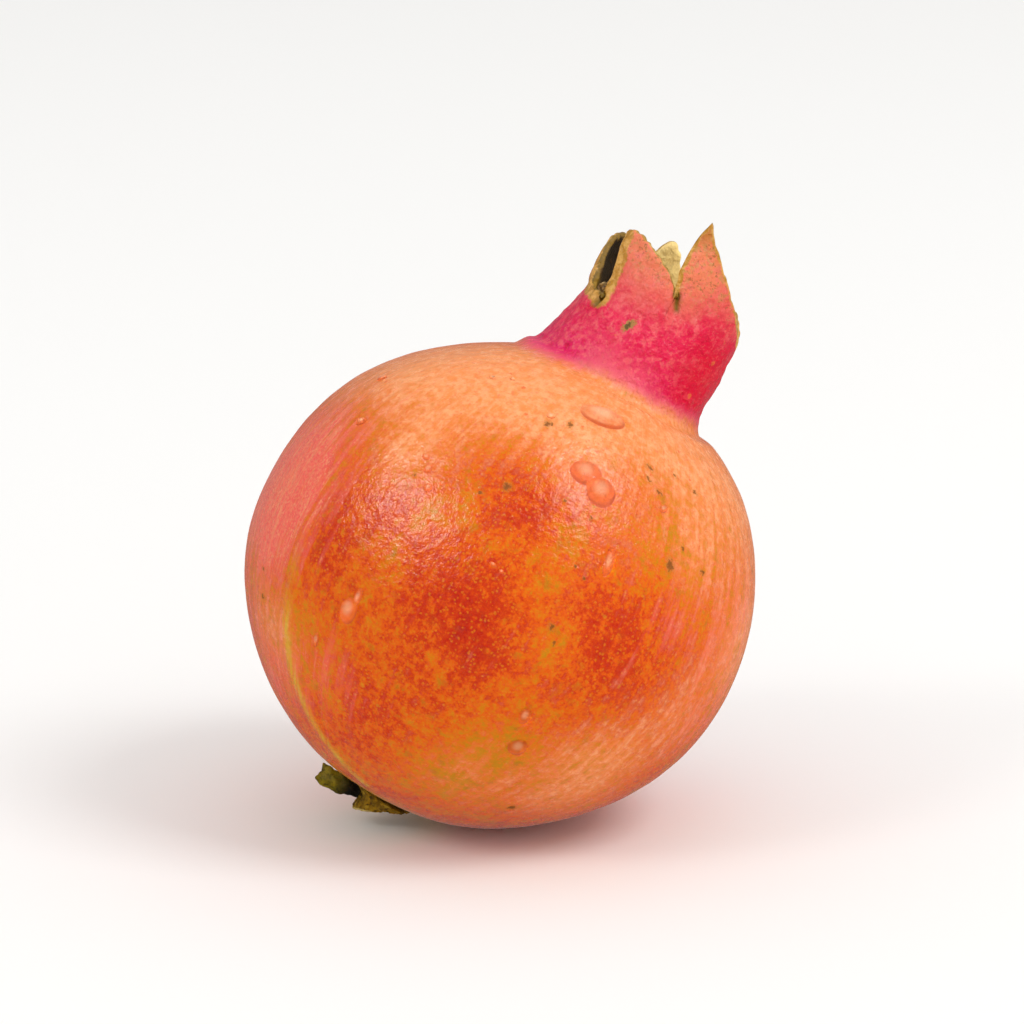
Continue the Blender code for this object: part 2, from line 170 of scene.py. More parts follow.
# Splits that run down from the notches between lobes: bearing and height at the bottom, at the top, and
# width in degrees
CREASES = (
    (7, 58.3, 1, 61.4, 2.4), (84, 55, 84, 57.5, 2), (-52, 51.6, -49, 54.6, 2.4), (173, 55, 173, 58.5, 2),
)
CREASE_DEPTH = 0.8
CREASE_FADE = 0.8

# Where the skin is reddest, pinkest, palest and most golden: bearing, polar angle, width in degrees,
# strength
PATCHES = {
    "red": (
        (-1.5, 97, 10, 0.45), (-4, 101, 17, 0.3), (-13, 90, 12, 0.4), (-4, 67, 8, 0.4), (23, 83, 7, 0.45),
        (35, 86, 12, 0.4), (-40, 97, 11, 0.45), (-31, 89, 9, 0.35), (-1, 111, 12, 0.15), (-8, 130, 14, 0.3),
        (50, 97, 16, 0.25), (165, 92, 34, 0.6), (115, 78, 26, 0.4), (-115, 84, 26, 0.35),
        (150, 130, 24, 0.4), (-160, 60, 22, 0.4),
    ),
    "pink": (
        (-62, 88, 18, 0.85), (-57, 74, 12, 0.1), (-74, 95, 15, 0.95), (-60, 101, 13, 0.75),
        (38, 78, 12, 0.3), (66, 88, 14, 0.35), (66, 68, 14, 0.35), (-52, 136, 14, 0.45),
        (-27, 125, 12, 0.35), (-130, 70, 34, 0.6), (105, 112, 30, 0.45), (160, 45, 22, 0.5),
        (-100, 125, 24, 0.5),
    ),
    "pale": (
        (-53, 47, 20, 0.85), (-27, 38, 20, 0.8), (0, 38, 14, 0.55), (28, 29, 16, 0.75), (60, 38, 20, 0.6),
        (-59, 122, 14, 0.35), (-80, 58, 24, 0.5), (3, 55, 9, 0.2), (44, 58, 12, 0.3), (100, 45, 22, 0.5),
        (-150, 38, 24, 0.5), (-125, 118, 20, 0.4), (-36, 70, 10, 0.5), (24, 62, 12, 0.2), (56, 94, 16, 0.4),
        (44, 111, 13, 0.42), (74, 74, 16, 0.6), (-48, 124, 9, 0.3), (22, 132, 16, 0.3), (52, 124, 14, 0.4),
    ),
    "gold": (
        (14.6, 90, 8, 0.5), (19, 116, 12, 0.6), (-27, 93, 11, 0.55), (6, 76, 8, 0.25), (47, 110, 10, 0.4),
        (40, 57, 13, 0.3), (-38, 117, 9, 0.35), (12, 132, 14, 0.5), (-16, 80, 8, 0.5), (-8, 109, 10, 0.4),
        (90, 98, 16, 0.4), (-170, 112, 20, 0.4), (-95, 100, 14, 0.35),
    ),
}

# Small brown scars on the skin: bearing, polar angle, radius, how long for its width, and its turn in
# degrees. The one on the neck has its height in place of the polar angle.
SCARS = (
    (35.5, 63.2, 0.85, 1.3, 20), (-10.3, 65.9, 0.7, 1.2, 60), (-14.9, 70.4, 0.35, 1, 0),
    (-30.3, 74.8, 0.3, 1.1, 0), (-12.2, 47.1, 0.45, 1.8, 30), (-10.8, 46.6, 0.3, 1.3, 80),
    (-6.2, 44.1, 0.42, 1.6, 10), (22.9, 43.4, 0.5, 1.5, 80), (23.2, 46.6, 0.35, 1.8, 60),
    (27.8, 48.3, 0.4, 1.8, 70), (33.4, 41.7, 0.32, 1.2, 30), (42.9, 43.4, 0.3, 2, 70),
    (3.3, 62.2, 0.3, 1.2, 0), (10.7, 62.7, 0.28, 1.4, 40), (12.3, 73.7, 0.28, 1, 0),
    (15.2, 75.1, 0.3, 1.2, 20), (47.2, 61.3, 0.4, 1.5, 75), (38.7, 58.3, 0.3, 1.5, 75),
    (43.3, 134.3, 0.75, 1.1, 0), (14, 87.5, 0.42, 1.7, 60), (16.2, 90.2, 0.3, 1.4, 40),
    (-59.5, 118, 0.4, 2.2, 85), (-61, 112, 0.3, 2, 85),
)
NECK_SCAR = (-17.5, 52.4, 0.6, 2.0, -23.0)
SCAR_DEPTH = 2.0

# Water drops: bearing and polar angle of the middle, half width, half length, turn in degrees, thickness.
# Painted shade darkens the skin under a drop's lower rim and a painted highlight lightens its middle;
# IMAGE_UP
# tells where the lower rim is: up in the image, as a step to the right and a step up on the front of the
# fruit.
DROPS = (
    (4.7, 53.7, 3, 2.5, 20, 0.4), (10.5, 56.2, 2.75, 2.9, -14, 0.9), (-28, 108, 1.75, 2.6, 0, 1.1),
    (-27, 104.2, 0.75, 1.9, 0, 0.5), (19.1, 69.5, 1, 2.6, 5, 0.6), (-34.8, 118.8, 0.62, 1.5, 0, 0.4),
    (1.5, 36.4, 4.4, 2.7, 16, 0.9), (-13, 44.6, 0.8, 0.6, 20, 0.3), (24.2, 115.6, 1.7, 1.9, 0, 0.8),
    (20.1, 107.6, 1.05, 1.7, 10, 0.6), (-53.8, 71.8, 1.2, 0.9, 30, 0.45), (-66.6, 60.8, 1.3, 0.8, 20, 0.4),
    (30, 51.6, 1.1, 0.7, 40, 0.35), (-3.6, 82.2, 0.7, 0.4, 0, 0.25), (-1.2, 82.6, 0.5, 0.4, 0, 0.22),
    (-28.5, 72, 0.8, 0.9, 0, 0.35), (-25.6, 75.5, 0.9, 0.8, 0, 0.3), (-23.5, 73, 0.55, 0.5, 0, 0.25),
    (-31, 70, 0.8, 0.6, 0, 0.3), (-38, 44, 0.7, 0.5, 0, 0.25), (-33, 41, 0.6, 0.45, 0, 0.25),
)
DROP_SIDES = 48
DROP_RINGS = 10
DROP_SINK = 0.12
DROP_DEPTH = 4.0
# How far the ovals of the drops' painted rim shade and painted highlight sit up in the image, as a share of
# the drop's smaller radius
RIM_RISE = 0.3
IMAGE_UP = (-0.5, 0.866)
DROP_BASE = (0.5, 0.97)
DROP_EDGE = 0.02
DROP_FULLNESS = 1.3

# Stamens and style. A ring has its radius, how many stamens, their length and how far they lean in, in
# degrees.
STAMEN_DISC_GAP = 0.35
STAMEN_DISC_RISE = 1.3
STAMEN_DISC_UNDER = (3.0, 6.0, 7.8, 8.6)
STAMEN_DISC_OVER = (8.3, 7.4, 6.0, 4.4, 3.0, 1.5)
STAMEN_DISC_WAVES = ((0.25, 1.2),)
STAMEN_DEPTH = 0.9
STAMEN_THICKNESS = (0.13, 0.2)
STAMEN_RINGS = ((7.6, 26, 5.4, 24.0), (6.2, 22, 5.9, 18.0), (4.6, 16, 6.3, 14.0), (3.0, 9, 6.0, 10.0))
STYLE_LENGTH = 7.6
STYLE_RADII = (0.7, 0.55, 0.5, 0.48, 0.46, 0.5, 0.62, 0.72, 0.5)
KNOB_STEPS = (-0.25, 0.0, 0.25, 0.5, 0.75, 0.95)
KNOB_RADII = (0.35, 0.8, 1.0, 0.95, 0.75, 0.35)
STAMEN_SEED = 7
WALL_STAMENS = 96
WALL_STAMEN_LOW = 49.0
WALL_STAMEN_HIGH = 56.5
NOTCH_FIBRES = 16
NOTCH_FIBRE_BEARING = -66.0
NOTCH_FIBRE_SPREAD = 16.0
NOTCH_FIBRE_HEIGHT = 55.0
NOTCH_FIBRE_DEPTH = 2.0

# Stem stub
STEM_GAP = 0.45
STEM_SEAT_RADII = (2.0, 4.0, 5.6)
STEM_PROFILE = (
    (-44.8, 6.0), (-45.5, 5.2), (-46.1, 4.1), (-46.7, 3.3), (-47.5, 2.9), (-48.1, 2.65), (-48.2, 2.1),
    (-47.8, 1.7), (-48.1, 1.2), (-48.15, 0.6),
)
STEM_PITH_HEIGHT = -47.7
STEM_COLUMNS = 132
STEM_FINE_STEPS = 7
STEM_COLLAR_SHIFT = 1.0
STEM_STUB_SHIFT = 0.3
STEM_CUT_TILT = 24.0
STEM_SHIFT_FROM = 45.0
STEM_CUT_FROM = 46.0
STEM_CUT_TO = 48.0
STEM_CUT_RINGS = 5
STEM_GRAIN_RADIUS = 4.0
STEM_GRAIN_STRETCH = 3.0
STEM_WAVES = ((0.45, 1.6), (0.22, 0.6))
STEM_CUT_ROUGHNESS = 0.35

# Torn leaf: station x, y, z, half its width and half its thickness. A painted shadow darkens it towards its
# root over some of its fine rows, and LEAF_POLES is how much of that painted shadow the points at its root
# and its torn end have.
LEAF_STATIONS = (
    (-2.6, -2.9, -45.6, 1.2, 0.6),
    (-4.4, -3.4, -45.75, 1.5, 0.8),
    (-6.2, -3.6, -45.85, 1.7, 0.9),
    (-7.9, -3.6, -46.0, 1.85, 0.95),
    (-9.4, -3.4, -46.15, 1.95, 0.9),
    (-10.6, -3.1, -46.2, 1.75, 0.75),
)
LEAF_SIDES = 64
LEAF_FINE_STEPS = 8
LEAF_TEAR = 0.4
LEAF_WAVE = 0.16
LEAF_WAVES = ((0.28, 1.3), (0.12, 0.5))
LEAF_VEIN = 0.07
LEAF_VEIN_WIDTH = 0.3
LEAF_SHADOW_ROWS = (26, 8)
LEAF_POLES = (0.0, 1.0)

# Finish of the surfaces
RIND_ROUGHNESS = 0.26
RIND_IOR = 1.3
DRY_IOR = 1.2
WATER_IOR = 1.33

# The skin's screen colours as it ripens, from ochre to deep red, and how ripe it is
RIPENING = (
    (0.0, (194, 128, 2)), (0.2, (216, 114, 0)), (0.4, (222, 88, 0)), (0.58, (202, 56, 0)),
    (0.78, (190, 36, 0)), (1.0, (172, 18, 4)),
)
RIPENESS = 0.4

# Screen colours, 0 to 255: the body, the crown, its lining, and the small pieces
TONES = {
    "freckle": (222, 132, 10), "speckle": (204, 142, 26), "olive": (164, 108, 12), "peach": (242, 142, 76),
    "light peach": (248, 164, 108), "peach grit": (236, 104, 72), "pink": (238, 90, 82),
    "salmon": (242, 124, 96), "light streak": (238, 168, 110), "light freckle": (248, 176, 124),
    "red dot": (228, 90, 44), "fold": (204, 178, 40), "stem halo": (196, 146, 44),
    "stem ring": (120, 100, 26), "scar halo": (190, 112, 4), "scar": (116, 62, 0),
    # Wet skin under the drops, painted shade along their lower rims and a painted highlight in their middles
    "wet skin": (232, 98, 10), "painted drop rim shade": (204, 78, 4), "painted drop highlight": (255, 222, 178),
    "crimson": (224, 0, 92), "rose": (228, 30, 76), "coral": (234, 86, 98), "orange": (240, 138, 92),
    "crown shade": (216, 0, 36), "light mottle": (240, 108, 106), "dark mottle": (212, 0, 52),
    "crown grit": (240, 128, 104), "crown speckle": (222, 132, 50), "haze": (234, 84, 128),
    "bloom": (238, 104, 108), "tip": (184, 116, 28), "tan": (196, 150, 84), "dark speck": (140, 92, 34),
    "dry margin": (190, 134, 48), "pale margin": (226, 172, 88), "dark edge": (106, 90, 34),
    "crease": (132, 104, 30), "crown scar halo": (170, 130, 60), "crown scar": (96, 76, 26),
    # The cup's lining: near-black painted shade, its own cream, and deeper painted shade lower in the cup
    "painted lining shade": (40, 24, 4), "cream lining": (255, 220, 140), "painted deep lining shade": (62, 42, 10),
    "lining mottle": (140, 92, 24), "lining edge": (160, 122, 40), "notch fibre": (206, 160, 34),
    "dark stamen": (86, 58, 20), "stamen": (196, 150, 78), "pale stamen": (228, 202, 140),
    "dark bark": (74, 50, 4), "bark": (156, 118, 14), "tan bark": (176, 140, 40), "black bark": (30, 20, 2),
    "wood": (168, 142, 70), "pale wood": (206, 184, 112), "pith": (88, 66, 24), "dark leaf": (88, 78, 2),
    # the leaf's root colour is painted shadow
    "leaf": (138, 120, 12), "leaf vein": (150, 128, 40), "painted leaf root shadow": (20, 14, 2), "leaf blot": (48, 38, 2),
    "water": (255, 255, 255),
}


def ease(x, low, high):
    t = np.clip((x - low) / (high - low), 0.0, 1.0)
    return t * t * (3.0 - 2.0 * t)


def bell(x, centre, width):
    return np.exp(-(((x - centre) / width) ** 2))


def mix(a, b, t):
    return a + (b - a) * t


def evenness(place_between):
    """1 for most of the way from place 0 to place 1, falling to nothing at both."""
    return 1.0 - np.abs(2.0 * place_between - 1.0) ** NOTCH_EVENNESS


def round_axis(bearing, radius, height):
    """Points at a bearing, a distance from the axis and a height, any of them an array."""
    b = np.radians(bearing)
    x, y, z = np.broadcast_arrays(radius * np.sin(b), -radius * np.cos(b), height)
    return np.stack([x, y, z], axis=-1).astype(float)


def lean():
    heading = Matrix.Rotation(math.radians(LEAN_HEADING), 4, "Z")
    tilt = Matrix.Rotation(math.radians(LEAN), 4, "Y")
    turn = Matrix.Rotation(math.radians(TURN), 4, "Z")
    return heading @ tilt @ turn


PLACE = Matrix.Translation(Vector(BODY_MIDDLE) * MM) @ lean() @ Matrix.Scale(MM, 4)


def place(points):
    """Points in the fruit's own millimetres, as an array in the shared frame's metres."""
    matrix = np.array(PLACE)
    return np.asarray(points) @ matrix[:3, :3].T + matrix[:3, 3]


def skin_radius(bearing, polar):
    """Distance from the body's middle to its skin. The polar angle is 0 at the crown and 180 at the stem."""
    bearing, polar = np.broadcast_arrays(np.asarray(bearing, float), np.asarray(polar, float))
    p = np.radians(polar)
    radius = BODY_RADIUS - SHOULDER_DROP * bell(polar, 0.0, SHOULDER_WIDTH)
    radius = radius - LOWER_DROP * ease(polar, LOWER_DROP_FROM, LOWER_DROP_TO)
    radius = radius - STEM_DIMPLE * bell(polar, 180.0, STEM_DIMPLE_WIDTH)
    radius = radius + RIB_HEIGHT * np.sin(p) ** 2 * np.cos(np.radians(RIB_COUNT * (bearing - RIB_BEARING)))
    here = round_axis(bearing, np.sin(p), np.cos(p))
    for cheek_bearing, cheek_polar, width, height in CHEEKS:
        c = math.radians(cheek_polar)
        there = round_axis(cheek_bearing, math.sin(c), math.cos(c))
        apart = np.degrees(np.arccos(np.clip(here @ there, -1.0, 1.0)))
        radius = radius + height * bell(apart, 0.0, width)
    return radius


def skin_point(bearing, polar):
    p = np.radians(polar)
    radius = skin_radius(bearing, polar)
    return round_axis(bearing, radius * np.sin(p), radius * np.cos(p))


def neck_point(bearing, radius, height):
    """A point of the crown, whose middle drifts to the right as it rises."""
    point = round_axis(bearing, radius, height)
    point[..., 0] += NECK_SHIFT * ease(np.asarray(height, float), NECK_SHIFT_FROM, NECK_SHIFT_TO)
    return point


def crown_columns():
    """For the crown's columns: root and rim bearing, rim height, place in the lobe, and lobe number."""
    rows = []
    for number, lobe in enumerate(LOBES):
        for i in range(LOBE_COLUMNS):
            share = i / LOBE_COLUMNS
            if share <= lobe.tip_share:
                t = share / lobe.tip_share
                rim = mix(lobe.left, lobe.tip, t) - lobe.swell * evenness(t)
                height = mix(lobe.left_height, lobe.tip_height, 1.0 - (1.0 - t) ** lobe.left_power)
            else:
                t = (share - lobe.tip_share) / (1.0 - lobe.tip_share)
                rim = mix(lobe.tip, lobe.right, t)
                height = mix(lobe.tip_height, lobe.right_height, t ** lobe.right_power)
            rows.append((mix(lobe.left, lobe.right, share), rim, height, share, number))
    last, first = LOBES[-1], LOBES[0]
    for i in range(NOTCH_COLUMNS):
        t = i / NOTCH_COLUMNS
        bearing = mix(last.right, first.left + 360.0, t)
        rows.append((bearing, bearing, mix(last.right_height, first.left_height, t), 0.0, 0))
    return [np.array(column) for column in zip(*rows)]


ROOT, RIM, RIM_HEIGHT, PLACE_IN_LOBE, LOBE_NUMBER = crown_columns()
RIM_HEIGHT = RIM_HEIGHT + RIM_RAGGED * evenness(PLACE_IN_LOBE) * np.array(
    [noise.noise(Vector(round_axis(bearing, RIM_RAGGED_PACE, 0.0))) for bearing in RIM]
)
OF_COLUMN = Lobe(*np.array([LOBES[number] for number in LOBE_NUMBER]).T)
PAST_TIP = ease(PLACE_IN_LOBE, OF_COLUMN.tip_share - MARGIN_CHANGE, OF_COLUMN.tip_share + MARGIN_CHANGE)
MARGIN_WIDTH = mix(OF_COLUMN.left_margin, OF_COLUMN.right_margin, PAST_TIP)


def lobe_radius(height):
    """Outer radius of every column of the crown at its height there."""
    waist = mix(LOBE_ROOT_RADIUS, LOBE_WAIST_RADIUS, ease(height, LOBE_ROOT_HEIGHT, LOBE_WAIST_HEIGHT))
    t = np.clip((height - LOBE_WAIST_HEIGHT) / (OF_COLUMN.tip_height - LOBE_WAIST_HEIGHT), 0.0, 1.0)
    middle, tip = OF_COLUMN.middle_radius - LOBE_WAIST_RADIUS, OF_COLUMN.tip_radius - LOBE_WAIST_RADIUS
    return waist + (4 * t * (1 - t) * middle + t * (2 * t - 1) * tip) * evenness(PLACE_IN_LOBE)


def lobe_ring(share, inner):
    height = mix(LOBE_ROOT_HEIGHT, RIM_HEIGHT, share)
    radius = lobe_radius(height)
    if inner:
        radius = radius - mix(WALL_AT_ROOT, WALL_AT_RIM, share)
    return neck_point(mix(ROOT, RIM, share ** COLUMN_SLANT), radius, height)


def rim_ring(share):
    """A ring of the rounded rim: share 0 is its outer edge, 1 its inner edge."""
    angle = math.pi * share
    radius = lobe_radius(RIM_HEIGHT) - WALL_AT_RIM * 0.5 * (1.0 - math.cos(angle))
    return neck_point(RIM, radius, RIM_HEIGHT + RIM_CREST * math.sin(angle))


def between(rings, steps):
    """Catmull-Rom rings: each gap between two rings is divided into steps."""
    rings = [2 * rings[0] - rings[1], *rings, 2 * rings[-1] - rings[-2]]
    fine = []
    for a, b, c, d in zip(rings, rings[1:], rings[2:], rings[3:]):
        for i in range(steps):
            t = i / steps
            fine.append(0.5 * (2 * b + (c - a) * t + (2 * a - 5 * b + 4 * c - d) * t ** 2
                               + (3 * b - a - 3 * c + d) * t ** 3))
    fine.append(rings[-2])
    return fine


def closed(rings, first_pole, last_pole):
    """Points and faces of a closed skin over rings of equally many points."""
    rings = np.array(rings)
    count, around = rings.shape[:2]
    points = np.concatenate([rings.reshape(-1, 3), [first_pole, last_pole]])
    first, last = count * around, count * around + 1
    j = np.arange(around)
    k = (j + 1) % around
    rows = np.arange(count - 1)[:, None] * around
    quads = np.stack([rows + j, rows + k, rows + around + k, rows + around + j], axis=-1)
    faces = quads.reshape(-1, 4).tolist()
    end = (count - 1) * around
    faces += [(int(b), int(a), first) for a, b in zip(j, k)]
    faces += [(int(end + a), int(end + b), last) for a, b in zip(j, k)]
    return points, faces


def tube(path, radii, sides):
    """Points and faces of a closed tube along a path."""
    path = np.asarray(path, float)
    rings = []
    side = None
    for i, centre in enumerate(path):
        ahead = path[min(i + 1, len(path) - 1)] - path[max(i - 1, 0)]
        ahead = ahead / np.linalg.norm(ahead)
        if side is None:
            side = np.cross(ahead, (0.31, 0.82, 0.12))
        side = side - ahead * (side @ ahead)
        side = side / np.linalg.norm(side)
        up = np.cross(ahead, side)
        angle = 2.0 * math.pi * np.arange(sides) / sides
        rings.append(centre + radii[i] * (np.outer(np.cos(angle), side) + np.outer(np.sin(angle), up)))
    start = path[0] - (path[1] - path[0]) * TUBE_END
    end = path[-1] + (path[-1] - path[-2]) * TUBE_END
    return closed(rings, start, end)


def mesh_of(name, parts, fields=None):
    """One mesh in the shared frame from parts in the fruit's own. Each field has a value for every point."""
    points = []
    faces = []
    for part_points, part_faces in parts:
        base = sum(len(p) for p in points)
        points.append(part_points)
        faces += [tuple(base + corner for corner in face) for face in part_faces]
    placed = place(np.concatenate(points))
    placed[:, 2] = np.maximum(placed[:, 2], 0.0)
    mesh = bpy.data.meshes.new(name)
    mesh.from_pydata(placed.tolist(), [], faces)
    for field, values in (fields or {}).items():
        values = np.asarray(values, np.float32)
        kind, key = ("FLOAT_VECTOR", "vector") if values.ndim == 2 else ("FLOAT", "value")
        mesh.attributes.new(field, kind, "POINT").data.foreach_set(key, values.reshape(-1))
    bm = bmesh.new()
    bm.from_mesh(mesh)
    bmesh.ops.recalc_face_normals(bm, faces=bm.faces)
    bm.to_mesh(mesh)
    bm.free()
    mesh.shade_smooth()
    return mesh


def add_object(name, data):
    obj = bpy.data.objects.new(name, data)
    bpy.context.scene.collection.objects.link(obj)
    return obj


def piece(mesh, material, node=None):
    """A piece that rides on the fruit, and stands for a solid where one is named."""
    mesh.materials.append(material)
    obj = add_object(mesh.name, mesh)
    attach(obj, "root")
    if node:
        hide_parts(node)
    return obj


def colour(red, green, blue):
    """A screen colour, 0 to 255, as the linear colour that shaders take."""
    linear = []
    for value in (red, green, blue):
        share = value / 255.0
        linear.append(share / 12.92 if share <= 0.04045 else ((share + 0.055) / 1.055) ** 2.4)
    return (*linear, 1.0)


class Paint:
    """A procedural material, built node by node. Its methods return the output of the node they add."""

    def __init__(self, name):
        self.material = bpy.data.materials.new(name)
        self.material.use_nodes = True
        self.tree = self.material.node_tree
        self.shader = self.tree.nodes["Principled BSDF"]
        metres = self.add("ShaderNodeTexCoord", {}, "Object")
        self.own = self.add("ShaderNodeVectorMath", {0: metres, 1: (1.0 / MM,) * 3}, 0, operation="MULTIPLY")

    def feed(self, socket, value):
        """Link or set a socket. A name stands for its colour in TONES."""
        if isinstance(value, bpy.types.NodeSocket):
            self.tree.links.new(value, socket)
        else:
            socket.default_value = colour(*TONES[value]) if isinstance(value, str) else value

    def add(self, kind, inputs, output, **settings):
        node = self.tree.nodes.new(kind)
        for key, value in settings.items():
            setattr(node, key, value)
        for key, value in inputs.items():
            self.feed(node.inputs[key], value)
        return node.outputs[output]

    def field(self, name, output="Fac"):
        return self.add("ShaderNodeAttribute", {}, output, attribute_name=name)

    def noise(self, size, detail=2.0, rough=0.5, warp=0.0, at=None):
        """Noise from 0 to 1 whose blotches are about size millimetres across."""
        inputs = {"Vector": at or self.own, "Scale": 1.0 / size, "Detail": detail, "Roughness": rough,
                  "Distortion": warp}
        return self.add("ShaderNodeTexNoise", inputs, "Fac")

    def spots(self, at, size, radius, share):
        """Soft round spots, their radius in cells, in a share of the cells of size millimetres."""
        node = self.tree.nodes.new("ShaderNodeTexVoronoi")
        self.feed(node.inputs["Vector"], at)
        self.feed(node.inputs["Scale"], 1.0 / size)
        here = self.step(node.outputs["Distance"], radius, radius * 0.4)
        return self.times(here, self.sums("LESS_THAN", node.outputs["Color"], share))

    def nearest(self, at, ovals):
        """How far a point is from the nearest oval's middle, in that oval's own radii."""
        best = None
        for middle, turn, radii in ovals:
            inputs = {"Vector": at, "Location": middle, "Rotation": turn, "Scale": radii}
            local = self.add("ShaderNodeMapping", inputs, 0, vector_type="TEXTURE")
            away = self.add("ShaderNodeVectorMath", {0: local}, "Value", operation="LENGTH")
            best = away if best is None else self.sums("MINIMUM", best, away)
        return best

    def warped(self, size, reach):
        """The object's own coordinates, pushed about by noise."""
        inputs = {"Vector": self.own, "Scale": 1.0 / size, "Detail": 2.0}
        push = self.add("ShaderNodeTexNoise", inputs, "Color")
        push = self.add("ShaderNodeVectorMath", {0: push, 1: (0.5,) * 3}, 0, operation="SUBTRACT")
        push = self.add("ShaderNodeVectorMath", {0: push, "Scale": reach}, 0, operation="SCALE")
        return self.add("ShaderNodeVectorMath", {0: self.own, 1: push}, 0, operation="ADD")

    def sums(self, operation, a, b=0.0):
        return self.add("ShaderNodeMath", {0: a, 1: b}, 0, operation=operation)

    def times(self, a, b):
        return self.sums("MULTIPLY", a, b)

    def centred(self, value):
        return self.sums("SUBTRACT", value, 0.5)

    def step(self, value, low, high, start=0.0, end=1.0):
        """value eased from start, at low, to end, at high."""
        inputs = {"Value": value, "From Min": low, "From Max": high, "To Min": start, "To Max": end}
        return self.add("ShaderNodeMapRange", inputs, "Result", interpolation_type="SMOOTHSTEP")

    def blend(self, *terms):
        """The sum of values, each times its weight."""
        total = None
        for value, weight in terms:
            term = value if weight == 1.0 else self.times(value, weight)
            total = term if total is None else self.sums("ADD", total, term)
        return total

    def ramp(self, value, stops):
        """The colour at value on a scale of (place, screen colour) stops."""
        node = self.tree.nodes.new("ShaderNodeValToRGB")
        elements = node.color_ramp.elements
        for element, (place_on_scale, shade) in zip(elements, (stops[0], stops[-1])):
            element.position, element.color = place_on_scale, colour(*shade)
        for place_on_scale, shade in stops[1:-1]:
            elements.new(place_on_scale).color = colour(*shade)
        self.feed(node.inputs["Fac"], value)
        return node.outputs["Color"]

    def mix(self, share, a, b):
        return self.add("ShaderNodeMix", {0: share, 6: a, 7: b}, 2, data_type="RGBA")

    def layers(self, base, *layers):
        """A colour with others laid over it in turn, each by its share."""
        for share, shade in layers:
            base = self.mix(share, base, shade)
        return base

    def bump(self, height, distance, under=None):
        """A bump whose height of 1 stands distance millimetres proud."""
        inputs = {"Height": height, "Distance": distance * MM, "Strength": 1.0}
        if under:
            inputs["Normal"] = under
        return self.add("ShaderNodeBump", inputs, "Normal")

    def finish(self, base, roughness, normal, **plain):
        self.feed(self.shader.inputs["Base Color"], base)
        self.feed(self.shader.inputs["Roughness"], roughness)
        self.feed(self.shader.inputs["Normal"], normal)
        for key, value in plain.items():
            self.shader.inputs[key.replace("_", " ")].default_value = value
        return self.material


def direction(bearing, polar):
    p = np.radians(polar)
    return round_axis(bearing, np.sin(p), np.cos(p))


def patches(way, places):
    """The patches' joint strength at each direction. A patch has bearing, polar angle, width and strength."""
    total = np.zeros(way.shape[:-1])
    for bearing, polar, width, strength in places:
        apart = np.degrees(np.arccos(np.clip(way @ direction(bearing, polar), -1.0, 1.0)))
        total = 1.0 - (1.0 - total) * (1.0 - strength * bell(apart, 0.0, width))
    return total


def distance_to_line(points, line):
    """Distance in millimetres from each point to a line of points."""
    best = np.full(points.shape[:-1], np.inf)
    for a, b in zip(line, line[1:]):
        along = np.clip(((points - a) @ (b - a)) / ((b - a) @ (b - a)), 0.0, 1.0)
        best = np.minimum(best, np.linalg.norm(points - (a + along[..., None] * (b - a)), axis=-1))
    return best


FOLD_LINE = np.array([skin_point(bearing, polar) for bearing, polar in FOLD])


def wobble(points, size):
    """Smooth noise from -1 to 1 at each point, with blotches of about size millimetres."""
    flat = points.reshape(-1, 3) / size
    return np.array([noise.noise(Vector(point)) for point in flat.tolist()]).reshape(points.shape[:-1])


def uneven(points, waves):
    return sum(height * wobble(points, size) for height, size in waves)


def body_relief(points):
    """How far the body's own unevenness lifts its skin at each point."""
    fold = bell(distance_to_line(points, FOLD_LINE), 0.0, FOLD_WIDTH)
    return uneven(points, BODY_WAVES) + FOLD_HEIGHT * fold


def outward_normals(grid):
    """Unit normals of a grid of rings, on its outer side."""
    around = np.roll(grid, -1, axis=1) - np.roll(grid, 1, axis=1)
    normals = np.cross(around, np.gradient(grid, axis=0))
    normals = normals / np.maximum(np.linalg.norm(normals, axis=-1, keepdims=True), 1e-9)
    outward = (normals * (grid - grid.mean(axis=1, keepdims=True))).sum() > 0.0
    return normals if outward else -normals


def with_poles(values, poles=None):
    """Values on a grid as one row, with those of the two poles, or of their neighbours, at its end."""
    ends = values[[0, -1], 0] if poles is None else poles
    return np.concatenate([values.reshape(-1, *values.shape[2:]), ends])


